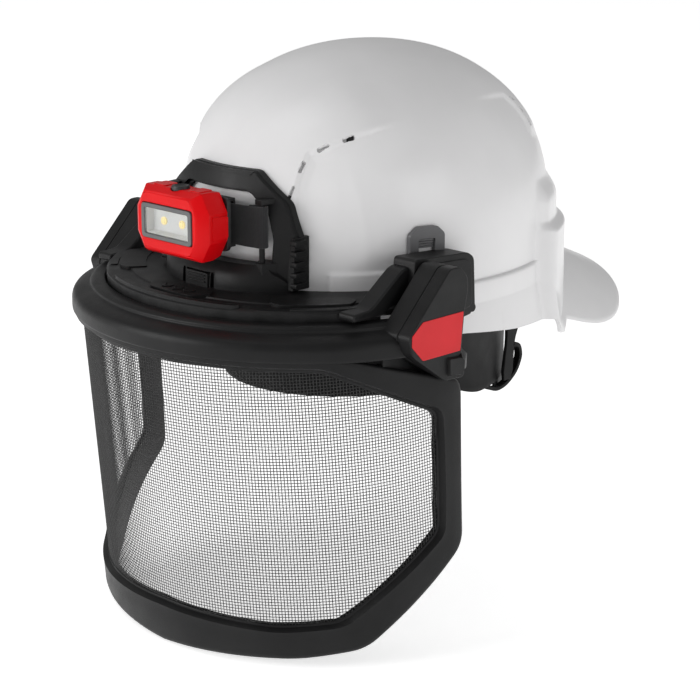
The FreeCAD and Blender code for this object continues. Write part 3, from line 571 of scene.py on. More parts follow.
def split_and_place(part, cell, place):
    if cell:
        for axis in range(2):
            values = [vert.co[axis] for vert in part.verts]
            normal = [0.0, 0.0, 0.0]
            normal[axis] = 1.0
            for k in range(math.floor(min(values) / cell) + 1, math.ceil(max(values) / cell)):
                at = [0.0, 0.0, 0.0]
                at[axis] = k * cell
                everything = part.verts[:] + part.edges[:] + part.faces[:]
                bmesh.ops.bisect_plane(part, geom=everything, plane_co=at, plane_no=normal, dist=1e-4)
    for vert in part.verts:
        vert.co = place(*vert.co)


def merge(bm, part):
    mesh = bpy.data.meshes.new("part")
    part.to_mesh(mesh)
    part.free()
    bm.from_mesh(mesh)
    bpy.data.meshes.remove(mesh)


def radial(points, centre, count):
    """A star-shaped outline read at equal angles round a centre, so that two outlines match point for point."""
    corners = [(a - centre[0], b - centre[1]) for a, b in points]
    out = []
    for angle in turns(count):
        direction = (math.cos(angle), math.sin(angle))
        best = 0.0
        for (ax, ay), (bx, by) in zip(corners, corners[1:] + corners[:1]):
            ex, ey = bx - ax, by - ay
            cross = direction[0] * ey - direction[1] * ex
            if abs(cross) < 1e-9:
                continue
            reach = (ax * ey - ay * ex) / cross
            along = (ax * direction[1] - ay * direction[0]) / cross
            if reach > 0.0 and -1e-6 <= along <= 1.0 + 1e-6:
                best = max(best, reach)
        out.append((centre[0] + direction[0] * best, centre[1] + direction[1] * best))
    return out


def add_rod(bm, start, end, radius, sides):
    a, b = Vector(start), Vector(end)
    axis = (b - a).normalized()
    side = axis.orthogonal().normalized()
    other = axis.cross(side)
    part = bmesh.new()
    loops = []
    for centre in (a, b):
        loops.append([centre + (side * math.cos(t) + other * math.sin(t)) * radius
                      for t in turns(sides)])
    add_skin(part, loops)
    merge(bm, part)


def new_object(name, data):
    """Puts an object into the scene."""
    made = bpy.data.objects.new(name, data)
    bpy.context.scene.collection.objects.link(made)
    return made


def make_piece(name, bm, body, slot, replaces=(), bevel=0.0, segments=3, sharp=40.0, smooth=True):
    """Turns a millimetre mesh into a finished piece on a body."""
    bmesh.ops.recalc_face_normals(bm, faces=bm.faces)
    bmesh.ops.scale(bm, vec=(MM, MM, MM), verts=bm.verts)
    mesh = bpy.data.meshes.new(name)
    bm.to_mesh(mesh)
    bm.free()
    for polygon in mesh.polygons:
        polygon.use_smooth = smooth
    obj = new_object(name, mesh)
    mesh.materials.append(materials[slot])
    if bevel:
        rounding = obj.modifiers.new("rounding", "BEVEL")
        rounding.width = bevel * MM
        rounding.segments = segments
        rounding.limit_method = "ANGLE"
        rounding.angle_limit = math.radians(28.0)
        rounding.harden_normals = True
    elif smooth:
        mesh.set_sharp_from_angle(angle=math.radians(sharp))
    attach(obj, body)
    if replaces:
        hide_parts(*replaces)
    return obj


# ---------------------------------------------------------------- surfaces that the pieces follow
def dome_share(z, out):
    """How far out the crown reaches at a height, as a share of its ellipse at the rim."""
    rise = np.clip((z - DOME_BASE_Z) / (DOME_HEIGHT + out), 0.0, 1.0)
    return (1.0 - rise ** DOME_POWER) ** (1.0 / DOME_POWER)


def dome_reach(across, z, out, half_across, half_along):
    """How far out the crown reaches along one plan axis, at a distance along the other."""
    inside = max(dome_share(z, out) ** 2 - (across / (half_across + out)) ** 2, 0.0)
    return (half_along + out) * math.sqrt(inside)


def dome_front(x, z, out):
    """A point on the front of the crown, moved out from it: (x, z) are kept."""
    return (x, -dome_reach(x, z, out, DOME_HALF_WIDTH, DOME_HALF_LENGTH), z)


def on_shield(run, z, out):
    """A point on the leaning shield: `run` is the distance round from the front, z the height, out the offset."""
    angle = run / SHIELD_RADIUS
    across = (SHIELD_HALF_WIDTH + out) * math.sin(angle)
    ahead = -(SHIELD_DEPTH + out) * math.cos(angle)
    lean = math.radians(SHIELD_LEAN)
    along = (z - SHIELD_DATUM_Z - ahead * math.sin(lean)) / math.cos(lean)
    return (across, SHIELD_CENTRE_Y + ahead * math.cos(lean) - along * math.sin(lean), z)


def on_ring(run, out, z):
    """A point on the upright ring over the shield: `run` round from the front, `out` beyond the mesh."""
    angle = run / SHIELD_RADIUS
    return ((SHIELD_HALF_WIDTH + out) * math.sin(angle), RING_CENTRE_Y - (SHIELD_DEPTH + out) * math.cos(angle), z)


# ---------------------------------------------------------------- face shield
def make_mesh_wires():
    """The woven screen: upright wires straight down the shield and hoops that pass over and under them."""
    bm = bmesh.new()
    lean = math.radians(SHIELD_LEAN)
    half = WIRE_DIAMETER / 2.0
    across_count = int(2.0 * SCREEN_HALF_RUN / WIRE_PITCH)
    # The shield leans, so that a few rows above the screen's height still cross it.
    up_count = int((SCREEN_TOP - SCREEN_LOW) / WIRE_PITCH_UP)

    def point(run, level, out):
        angle = run / SHIELD_RADIUS
        ahead = -(SHIELD_DEPTH + out) * math.cos(angle)
        y = SHIELD_CENTRE_Y + ahead * math.cos(lean) - level * math.sin(lean)
        z = SHIELD_DATUM_Z + ahead * math.sin(lean) + level * math.cos(lean)
        return ((SHIELD_HALF_WIDTH + out) * math.sin(angle), y, z)

    def inside(run, z):
        side = abs(run)
        low = np.interp(side, SCREEN_EDGE_RUN, SCREEN_EDGE_LOW)
        high = np.interp(side, SCREEN_EDGE_RUN, SCREEN_EDGE_TOP)
        return low <= z <= high

    def tube(points, upright):
        if len(points) < 2:
            return
        if upright:
            ring = ((half, 0, 0), (0, 0, half), (-half, 0, 0), (0, 0, -half))
        else:
            ring = ((0, half, 0), (0, 0, half), (0, -half, 0), (0, 0, -half))
        add_skin(bm, [[point(run + dr, level + dl, out + do) for dr, dl, do in ring] for run, level, out in points])

    levels = [SCREEN_LOW - SHIELD_DATUM_Z + k * WIRE_PITCH_UP for k in range(up_count + SPARE_ROWS)]
    runs = [-SCREEN_HALF_RUN + k * WIRE_PITCH for k in range(across_count + 1)]
    for run in runs:
        kept = [level for level in levels if inside(run, point(run, level, 0.0)[2])]
        if kept:
            tube([(run, kept[0], 0.0), (run, kept[-1], 0.0)], True)
    for row, level in enumerate(levels):
        span = []
        for column, run in enumerate(runs):
            over = WEAVE_RISE if (row + column) % 2 else -WEAVE_RISE
            if inside(run, point(run, level, 0.0)[2]):
                span.append((run, level, over))
            else:
                tube(span, False)
                span = []
        tube(span, False)
    make_piece("mesh_wires", bm, "shield", "mesh_steel", ["mesh_screen"], smooth=False)


def spread(corners, radius, spans):
    """An open outline with rounded corners and `spans` points on each run, for matching two outlines."""
    out = []
    for i in range(len(corners) - 1):
        a, b = Vector(corners[i]), Vector(corners[i + 1])
        cut_a = min(radius, (b - a).length * 0.45) if i else 0.0
        cut_b = min(radius, (b - a).length * 0.45) if i < len(corners) - 2 else 0.0
        start = a + (b - a).normalized() * cut_a
        end = b - (b - a).normalized() * cut_b
        for k in range(spans + 1):
            out.append(start.lerp(end, k / spans))
        if i < len(corners) - 2:
            c = Vector(corners[i + 2])
            leave = b + (c - b).normalized() * min(radius, (c - b).length * 0.45)
            for k in range(1, CORNER_SPANS):
                t = k / CORNER_SPANS
                out.append(end.lerp(b, t).lerp(b.lerp(leave, t), t))
    return out


def make_shield_frame():
    """The moulded frame: a band round the window, and the ring above it that meets the brim guard."""
    edges = []
    for corners, radius in ((WINDOW_EDGE, 7.0), (FRAME_EDGE, 9.0)):
        half = spread(corners, radius, 14)
        edges.append(half + [Vector((-p.x, p.y)) for p in half[-2:0:-1]])
    bm = bmesh.new()
    loops = []
    for near, far in zip(*edges):
        width = (far - near).length
        loop = []
        for side, inset, out in BAND_SECTION:
            spot = near.lerp(far, inset / width if side == 0 else 1.0 - inset / width)
            loop.append(on_shield(spot.x, spot.y, out))
        loops.append(loop)
    skin_loops(bm, loops + [loops[0]])
    bmesh.ops.remove_doubles(bm, verts=bm.verts, dist=1e-4)
    make_piece("shield_frame_band", bm, "shield", "black_frame", ["shield_frame"], sharp=50.0)

    bm = bmesh.new()
    profile = fillet(RING_PROFILE, 1.8, 4)
    add_skin(bm, [[on_ring(RING_HALF_RUN * t, out, z) for out, z in profile] for t in sweep(120)])
    make_piece("shield_frame_ring", bm, "shield", "black_frame", ["shield_frame"], sharp=50.0)


def make_arm(side, place):
    """One arm: two moulded halves with a seam between them, a red label and a latch block."""
    bm = bmesh.new()
    outline = fillet(ARM_OUTLINE, 3.0, 5)
    narrow = scaled(outline, 0.985, 0.985, ARM_CENTRE)
    add_slab(bm, outline, ARM_IN_X, ARM_SEAM_X, place)
    add_slab(bm, narrow, ARM_SEAM_X - 0.5, ARM_SEAM_X + 1.0, place)
    add_slab(bm, outline, ARM_SEAM_X + 0.5, ARM_OUT_X, place)
    add_slab(bm, ARM_WEB, *ARM_WEB_X, place)
    make_piece("arm_shell_" + side, bm, "shield", "black_frame", ["arm_" + side], bevel=0.7, segments=2)
    bm = bmesh.new()
    add_slab(bm, fillet(LABEL_OUTLINE, 0.8, 3), ARM_OUT_X - 0.4, ARM_OUT_X + 0.3, place)
    make_piece("label_plate_" + side, bm, "shield", "label_red", ["label_" + side], bevel=0.15)
    bm = bmesh.new()
    foot = radial(fillet(BUTTON_OUTLINE, 0.8, 3), BUTTON_CENTRE, 120)
    face = radial(fillet(BUTTON_FACE, 0.8, 3), BUTTON_CENTRE, 120)
    levels = ((foot, ARM_OUT_X - 14.0), (foot, ARM_OUT_X - 3.0), (face, ARM_OUT_X + 2.3))
    add_skin(bm, [[place(u, v, x) for u, v in loop] for loop, x in levels])
    make_piece("release_cap_" + side, bm, "release_" + side, "black_frame", ["release_button_" + side], sharp=24.0)


def scaled(outline, share_u, share_v, centre):
    return [(centre[0] + (u - centre[0]) * share_u, centre[1] + (v - centre[1]) * share_v) for u, v in outline]


# ---------------------------------------------------------------- hard hat shell
def near_line(points, line):
    """Signed distance from a polyline, positive towards the middle plane, and the share of the way along it."""
    line = np.array(line, float)
    best = np.full(len(points), 1e9)
    signed = np.zeros(len(points))
    share = np.zeros(len(points))
    lengths = np.linalg.norm(np.diff(line, axis=0), axis=1)
    ends = np.concatenate(([0.0], np.cumsum(lengths)))
    for k, (a, b) in enumerate(zip(line, line[1:])):
        step = b - a
        t = np.clip(((points - a) @ step) / (step @ step), 0.0, 1.0)
        away = points - (a + t[:, None] * step)
        distance = np.linalg.norm(away, axis=1)
        outward = np.array([a[0] / DOME_HALF_WIDTH, a[1] / DOME_HALF_LENGTH,
                            max(a[2] - DOME_BASE_Z, 0.0) / DOME_HEIGHT])
        inward = np.cross(outward, step)
        closer = distance < best
        best = np.where(closer, distance, best)
        signed = np.where(closer, np.sign(away @ inward) * distance, signed)
        share = np.where(closer, (ends[k] + t * lengths[k]) / ends[-1], share)
    return signed, share


def shell_relief(points):
    """How far each point of the crown stands out: hood, side panel, brow ledge and back panel.

    Each pair of numbers is where a form starts and where it is full, in millimetres (in shares for `share`).
    """
    folded = points.copy()
    folded[:, 0] = np.abs(folded[:, 0])
    x, y, z = folded.T
    distance, share = near_line(folded, HOOD_FRONT_RIDGE)
    step = smooth_step(-0.6, 3.2, distance)
    fade = 1.0 - smooth_step(0.72, 1.0, share)
    near = 1.0 - smooth_step(9.0, 26.0, np.abs(distance))
    front = np.where(y < -30.0, 1.0, 0.0)
    ease = np.where(distance > 0, step * (1.0 - 0.8 * smooth_step(30.0, 75.0, distance)), step)
    hood = HOOD_RISE * front * fade * ease
    dip = -PANEL_DIP * front * fade * near * smooth_step(0.0, 6.0, -distance)
    distance, share = near_line(folded, HOOD_REAR_RIDGE)
    fade = smooth_step(0.0, 0.45, share) * (1.0 - smooth_step(0.85, 1.0, share))
    back = np.where(y > 5.0, 1.0, 0.0)
    hood += HOOD_RISE * back * fade * smooth_step(-0.6, 3.2, distance) * (1.0 - smooth_step(10.0, 45.0, distance))
    crease = CREASE_RISE * np.exp(-((y + 88.0 + 0.05 * (z - 70.0)) / 3.5) ** 2) * smooth_step(38.0, 60.0, z)
    crease *= 1.0 - smooth_step(88.0, 108.0, z)
    ledge = LEDGE_RISE * smooth_step(66.0, 69.0, x) * smooth_step(-56.0, -60.0, y) * smooth_step(40.0, 37.5, z)
    upper = BACK_PANEL_RISE * smooth_step(50.0, 62.0, y) * smooth_step(79.0, 62.0, z)
    lower = (BACK_BLOCK_RISE - BACK_PANEL_RISE) * smooth_step(51.0, 59.0, y) * smooth_step(51.0, 44.5, z)
    return hood + dip + crease + ledge + upper + lower


def bill_height(x, y):
    """The arched top of the bill, sloping down to its tip."""
    drop = BILL_ARCH_RADIUS - np.sqrt(np.maximum(BILL_ARCH_RADIUS ** 2 - x ** 2, 0.0))
    return BILL_CREST_Z - BILL_SLOPE * (y - BILL_CREST_Y) - drop


def brim_edge(angle):
    """Plan distance from the middle to the brim's edge, in each direction."""
    cos, sin = np.cos(angle), np.sin(angle)
    flare = 1.0 / np.sqrt((cos / (DOME_HALF_WIDTH + BRIM_FLARE)) ** 2 + (sin / (DOME_HALF_LENGTH + BRIM_FLARE)) ** 2)
    bill = np.zeros_like(angle)
    for k in range(len(angle)):
        if sin[k] <= 0.05:
            continue
        low, high = 0.0, BILL_START_Y + BILL_LENGTH + BILL_HALF_WIDTH
        for _ in range(40):
            middle = (low + high) / 2.0
            across = abs(middle * cos[k]) / BILL_HALF_WIDTH
            along = max(middle * sin[k] - BILL_START_Y, 0.0) / BILL_LENGTH
            if across ** BILL_POWER + along ** BILL_POWER < 1.0:
                low = middle
            else:
                high = middle
        bill[k] = low
    blend = 6.0
    return blend * np.logaddexp(flare / blend, bill / blend)


def make_shell():
    """One skin from the crown down over the gutter to the brim and bill, cut for the vents and given its wall."""
    angles = np.linspace(0.0, 2.0 * np.pi, SHELL_COLUMNS, endpoint=False)
    cos, sin = np.cos(angles), np.sin(angles)
    rows = []
    for turn in np.linspace(0.5 * np.pi, 0.0, CROWN_ROWS + 1)[1:]:
        rise = DOME_HEIGHT * math.sin(turn) ** (2.0 / DOME_POWER)
        rows.append((math.cos(turn) ** (2.0 / DOME_POWER), DOME_BASE_Z + rise))
    rows += [(1.0, z) for z in np.linspace(DOME_BASE_Z, GUTTER_Z + 0.9, WALL_ROWS + 1)[1:]]
    levels = []
    for share, z in rows:
        base = np.stack([DOME_HALF_WIDTH * share * cos, DOME_HALF_LENGTH * share * sin, np.full_like(cos, z)], axis=1)
        tall = max(z - DOME_BASE_Z, 0.0) / DOME_HEIGHT
        normal = np.stack([cos * share / DOME_HALF_WIDTH, sin * share / DOME_HALF_LENGTH,
                           np.full_like(cos, tall / DOME_HEIGHT)], axis=1)
        normal /= np.linalg.norm(normal, axis=1)[:, None]
        levels.append(base + normal * shell_relief(base)[:, None])
    wall = levels[-1]
    plan = wall[:, :2]
    reach = np.linalg.norm(plan, axis=1)
    direction = plan / reach[:, None]
    heading = np.arctan2(direction[:, 1], direction[:, 0])
    edge = np.maximum(brim_edge(heading), reach + BRIM_LEAST)
    back = smooth_step(58.0, 104.0, wall[:, 1])
    block = smooth_step(46.0, 56.0, wall[:, 1])
    for out, z in GUTTER_STEPS:
        moved = plan + direction * (out * (1.0 - block))[:, None]
        levels.append(np.column_stack([moved, np.full(len(plan), z)]))
    foot = plan + direction * (GUTTER_STEPS[-1][0] * (1.0 - block) + 0.4)[:, None]
    arch_foot = bill_height(foot[:, 0], foot[:, 1])
    foot_z = CREASE_Z * (1.0 - back) + np.minimum(arch_foot, GUTTER_STEPS[-1][1] - 1.0) * back
    for t in (0.33, 0.66, 0.9):
        z = GUTTER_STEPS[-1][1] * (1.0 - t) + foot_z * t
        levels.append(np.column_stack([foot, z]))
    foot_reach = np.linalg.norm(foot, axis=1)
    rim_z = np.interp(wall[:, 1], RIM_Y, RIM_Z)
    for k in range(BILL_ROWS + 1):
        t = k / BILL_ROWS
        reach_now = foot_reach * (1.0 - t) + edge * t
        spot = direction * reach_now[:, None]
        arch = np.minimum(bill_height(spot[:, 0], spot[:, 1]), foot_z)
        edge_spot = direction * edge[:, None]
        arch_weight = smooth_step(62.0, 96.0, edge_spot[:, 1])
        side = foot_z * (1.0 - t ** 1.15) + rim_z * t ** 1.15
        levels.append(np.column_stack([spot, side * (1.0 - arch_weight) + arch * arch_weight]))
    lip = levels[-1].copy()
    lip[:, 2] -= BRIM_LIP
    lip[:, :2] += direction * 0.3
    levels.append(lip)

    bm = bmesh.new()
    skins = skin_loops(bm, [[tuple(p) for p in level] for level in levels])
    crown = bm.verts.new((0.0, 0.0, DOME_BASE_Z + DOME_HEIGHT + shell_relief(np.array([[0.0, 0.0, 165.0]]))[0]))
    count = len(skins[0])
    for i in range(count):
        bm.faces.new((skins[0][i], crown, skins[0][(i + 1) % count]))
    for start, end in VENTS:
        for mirror in (1.0, -1.0):
            cut_vent(bm, start, end, mirror)
    obj = make_piece("shell_moulding", bm, "helmet", "shell_white", ["shell"], sharp=180.0)
    facing = sum(polygon.normal.dot(polygon.center) for polygon in obj.data.polygons)
    if facing < 0.0:
        obj.data.flip_normals()
    wall_solid = obj.modifiers.new("wall", "SOLIDIFY")
    wall_solid.thickness = SHELL_WALL * MM
    wall_solid.offset = -1.0
    bake_modifiers(obj)
    obj.data.set_sharp_from_angle(angle=math.radians(48.0))


def cut_vent(bm, start, end, mirror):
    """Cuts one slot with clipped corners through the shell's skin."""
    a, b = Vector(start), Vector(end)
    a.x *= mirror
    b.x *= mirror
    along = (b - a).normalized()
    middle = (a + b) / 2.0
    outward = Vector((middle.x, middle.y, middle.z - 10.0)).normalized()
    across = along.cross(outward).normalized()
    half = (b - a).length / 2.0
    corner = (half + VENT_WIDTH / 2.0 - 0.8) / math.sqrt(2.0)
    sides = []
    for normal, reach in ((along, half), (across, VENT_WIDTH / 2.0), ((along + across).normalized(), corner),
                          ((along - across).normalized(), corner)):
        sides += [(normal, reach), (-normal, reach)]
    near = [f for f in bm.faces if (f.calc_center_median() - middle).length < half + 6.0]
    for normal, reach in sides:
        geometry = set(near)
        for face in near:
            geometry.update(face.edges)
            geometry.update(face.verts)
        cut = bmesh.ops.bisect_plane(bm, geom=list(geometry), plane_co=middle + normal * reach, plane_no=normal,
                                     dist=1e-4)
        near = list({g for g in cut["geom"] if isinstance(g, bmesh.types.BMFace)})
    inside = [f for f in near if all((f.calc_center_median() - middle).dot(n) < r for n, r in sides)]
    bmesh.ops.delete(bm, geom=inside, context="FACES")


def bake_modifiers(obj):
    """Replaces a piece's mesh with its finished shape and clears its modifiers."""
    bpy.context.view_layer.update()
    graph = bpy.context.evaluated_depsgraph_get()
    mesh = bpy.data.meshes.new_from_object(obj.evaluated_get(graph), preserve_all_data_layers=True, depsgraph=graph)
    obj.modifiers.clear()
    old = obj.data
    obj.data = mesh
    bpy.data.meshes.remove(old)


# ---------------------------------------------------------------- brim guard and side carriers
def make_brim_guard():
    """The roof between shell and shield with its lip, the steps and emblem on it, and the arms at its sides."""
    bm = bmesh.new()
    loops = []
    for t in sweep(140):
        outer = on_ring(GUARD_HALF_RUN * t, -16.6, 0.0)
        direction = Vector((outer[0], outer[1] - RING_CENTRE_Y)).normalized()
        reach_out = (Vector(outer[:2]) - Vector((0.0, RING_CENTRE_Y))).length
        reach_in = min(shell_reach(direction), reach_out - 2.0)
        loop = []
        for share, z in GUARD_SECTION:
            reach = reach_out * (1.0 - share) + reach_in * share if share <= 1.0 else reach_in
            loop.append((direction.x * reach, RING_CENTRE_Y + direction.y * reach, z))
        loops.append(loop)
    add_skin(bm, loops)
    lip = bmesh.new()
    add_skin(lip, [[on_ring(LIP_HALF_RUN * t, out, z) for out, z in LIP_SECTION] for t in sweep(140)])
    merge(bm, lip)
    make_piece("brim_guard_roof", bm, "helmet", "black_frame", ["brim_guard"], sharp=30.0)

    bm = bmesh.new()
    for outline, low, high in GUARD_STEPS:
        shape = fillet(outline, 3.0, 4)
        add_slab(bm, shape, low, high, on_ring, cell=6.0)
        if min(u for u, v in outline) > 0.0:
            add_slab(bm, [(-u, v) for u, v in shape], low, high, on_ring, cell=6.0)
    make_piece("brim_guard_steps", bm, "helmet", "black_frame", ["brim_guard"], bevel=0.5)

    bm = bmesh.new()
    for at in (-12.0, 0.0, 12.0):
        points = [(at - 5, -36), (at, -32), (at + 5, -36), (at + 5, -33), (at, -29), (at - 5, -33)]
        add_slab(bm, points, ROOF_TOP_Z + 1.7, ROOF_TOP_Z + 2.7, on_ring, cell=4.0)
    make_piece("guard_emblem", bm, "helmet", "black_frame", bevel=0.3)

    bm = bmesh.new()
    for _, place in SIDES:
        add_slab(bm, fillet(GUARD_ARM_OUTLINE, 4.0, 5), CARRIER_IN_X, GUARD_ARM_OUT_X, place)
    make_piece("brim_guard_arms", bm, "helmet", "black_frame", ["brim_guard"], bevel=1.4)


def shell_reach(direction):
    """Plan distance from the ring's centre to the shell's side, just under its gutter."""
    a, b = DOME_HALF_WIDTH + 2.6, DOME_HALF_LENGTH + 2.6
    p = (direction.x / a) ** 2 + (direction.y / b) ** 2
    q = 2.0 * direction.y * RING_CENTRE_Y / b ** 2
    r = (RING_CENTRE_Y / b) ** 2 - 1.0
    return (-q + math.sqrt(q * q - 4.0 * p * r)) / (2.0 * p)


def make_carrier(side, place):
    bm = bmesh.new()
    add_slab(bm, fillet(CARRIER_OUTLINE, 3.0, 5), CARRIER_IN_X, MOUNT_OUT_X - 0.4, place)
    add_slab(bm, fillet(CARRIER_FACE, 3.0, 5), MOUNT_OUT_X - 1.0, MOUNT_OUT_X + 0.2, place)
    make_piece("carrier_block_" + side, bm, "helmet", "black_frame", ["side_carrier_" + side], bevel=1.6)
    bm = bmesh.new()
    add_rod(bm, place(-31.5, 13.5, 112.0), place(-31.5, 13.5, 121.0), 2.6, 20)
    add_slab(bm, fillet([(-55, 7), (-33, 10), (-33, 13.5), (-55, 11.5)], 1.0, 3), 113.5, 120.6, place)
    make_piece("carrier_foot_" + side, bm, "helmet", "black_frame", bevel=0.5)


def make_strap_clip(side, place):
    """The grey buckle over the carrier: a plate with a barred window, bent to the shell."""
    def on_side(y, z, out):
        return place(y, z, dome_reach(y, z, out, DOME_HALF_LENGTH, DOME_HALF_WIDTH))

    bm = bmesh.new()
    outer = radial(fillet(CLIP_OUTLINE, 1.5, 4), CLIP_CENTRE, 96)
    inner = radial(fillet(CLIP_WINDOW, 1.0, 3), CLIP_CENTRE, 96)
    add_window(bm, outer, inner, 0.5, 3.2, on_side, cell=4.0)
    for k in range(4):
        z = 52.6 + 1.5 * k
        add_slab(bm, rect(-60.4, -51.0, z, z + 1.0), 0.6, 1.9 + 0.15 * k, on_side)
    make_piece("clip_buckle_" + side, bm, "helmet", "clip_grey", ["strap_clip_" + side], bevel=0.45, segments=2)


# ---------------------------------------------------------------- lamp mount and headlamp
def cut_away(obj, form):
    """Takes a millimetre form out of a piece."""
    bmesh.ops.recalc_face_normals(form, faces=form.faces)
    bmesh.ops.scale(form, vec=(MM, MM, MM), verts=form.verts)
    mesh = bpy.data.meshes.new(obj.name + "_form")
    form.to_mesh(mesh)
    form.free()
    cutter = new_object(obj.name + "_form", mesh)
    cut = obj.modifiers.new("cut", "BOOLEAN")
    cut.operation = "DIFFERENCE"
    cut.object = cutter
    bake_modifiers(obj)
    bpy.data.objects.remove(cutter)
    bpy.data.meshes.remove(mesh)


def make_lamp_mount():
    """The clip-on lamp mount: a six-sided frame bent to the shell, ridged grips, a rounded base and two posts."""
    bm = bmesh.new()
    outer = radial(fillet(MOUNT_OUTLINE, 3.0, 4), MOUNT_CENTRE, MOUNT_POINTS)
    inner = radial(fillet(MOUNT_OPENING, 3.0, 4), MOUNT_CENTRE, MOUNT_POINTS)
    lean = scaled(outer, 0.985, 0.985, MOUNT_CENTRE)
    add_window(bm, outer, inner, MOUNT_LOW_OUT + HOOD_RISE, MOUNT_TOP_OUT - 2.5, dome_front, cell=5.0)
    wider = fillet(scaled(MOUNT_OPENING, 1.05, 1.06, MOUNT_CENTRE), 3.0, 4)
    rail = radial(wider, MOUNT_CENTRE, MOUNT_POINTS)
    add_window(bm, lean, rail, MOUNT_TOP_OUT - 2.6, MOUNT_TOP_OUT, dome_front, cell=5.0)
    ridge = [(-26.0, 97.2), (26.0, 97.2), (28.0, 99.6), (-28.0, 99.6)]
    add_slab(bm, ridge, MOUNT_TOP_OUT - 0.5, MOUNT_TOP_OUT + 0.4, dome_front, cell=4.0)
    make_piece("lamp_mount_frame", bm, "helmet", "black_frame", ["lamp_mount"], bevel=0.6)

    bm = bmesh.new()
    for _, place in SIDES:
        add_slab(bm, [(-126, 29.5), (-112, 29.5), (-112, 62), (-124, 62)], 52.0, 58.4, place)
        for k in range(5):
            z = 31.0 + 6.6 * k
            add_plate(bm, (-126.5, -116.5, z, z + 3.4), 1.2, 56.5, 61.6, place)
    make_piece("lamp_mount_grips", bm, "helmet", "black_frame", bevel=0.6)

    bm = bmesh.new()
    count = 72
    loops = []
    for z, half, depth in BASE_LEVELS:
        front = []
        for k in range(count + 1):
            x = half * math.sin(math.pi * (k / count - 0.5))
            y = BASE_CENTRE_Y - BASE_DEPTH * depth * math.sqrt(max(1.0 - (x / BASE_HALF_WIDTH) ** 2, 0.0))
            front.append((x, y, z))
        back = [dome_front(half * 0.98 * math.cos(math.pi * k / 12), z, 3.4) for k in range(13)]
        loops.append(front + back)
    add_skin(bm, loops)
    bmesh.ops.triangulate(bm, faces=[f for f in bm.faces if len(f.verts) > 4])
    slot_cutters = bmesh.new()
    for x in (-14.2, 11.2):
        add_slab(slot_cutters, rect(x, x + 3.0, -156, -148.5), 19.0, 37.6)
    add_slab(slot_cutters, rect(-10.6, 10.6, -156, -144.6), 19.0, 37.6)
    base = make_piece("lamp_mount_base", bm, "helmet", "black_frame", sharp=26.0)
    cut_away(base, slot_cutters)
    base.data.set_sharp_from_angle(angle=math.radians(26.0))

    bm = bmesh.new()
    for x in (POST_X, -POST_X):
        add_rod(bm, (x, POST_Y, 38.0), (x, POST_Y, STRAP_TOP_Z + 2.4), POST_RADIUS, 18)
        for low, high, back in ((36.0, 46.0, -120.0), (STRAP_TOP_Z + 1.2, STRAP_TOP_Z + 4.6, -114.0)):
            inner, outer, flare = (math.copysign(size, x) for size in
                                   (abs(x) - 3.0, abs(x) + 3.0, 3.0 if low > STRAP_LOW_Z else 9.0))
            add_slab(bm, [(inner, POST_Y - 3), (outer, POST_Y - 3), (outer + flare, back), (inner - flare, back)],
                     low, high)
    make_piece("lamp_mount_posts", bm, "helmet", "black_frame", bevel=0.5)

    bm = bmesh.new()
    add_plate(bm, (-10, 10, 22.5, 37), 1.5, -151.9, -149.2, place_xz)
    for k in range(3):
        z = 31.0 + 1.9 * k
        add_slab(bm, rect(-8, 8, z, z + 0.9), -152.7, -151.0, place_xz)
    make_piece("mount_latch_tab", bm, "mount_latch", "black_frame", ["lamp_mount_latch"], bevel=0.4)


def octagon(scale, y):
    return [(x * scale, y, LAMP_MID_Z + z * scale) for x, z in LAMP_FACE]


def rectangle(half_x, half_z, radius):
    return [(u, v + LAMP_MID_Z) for u, v in fillet(rect(-half_x, half_x, -half_z, half_z), radius, 5)]


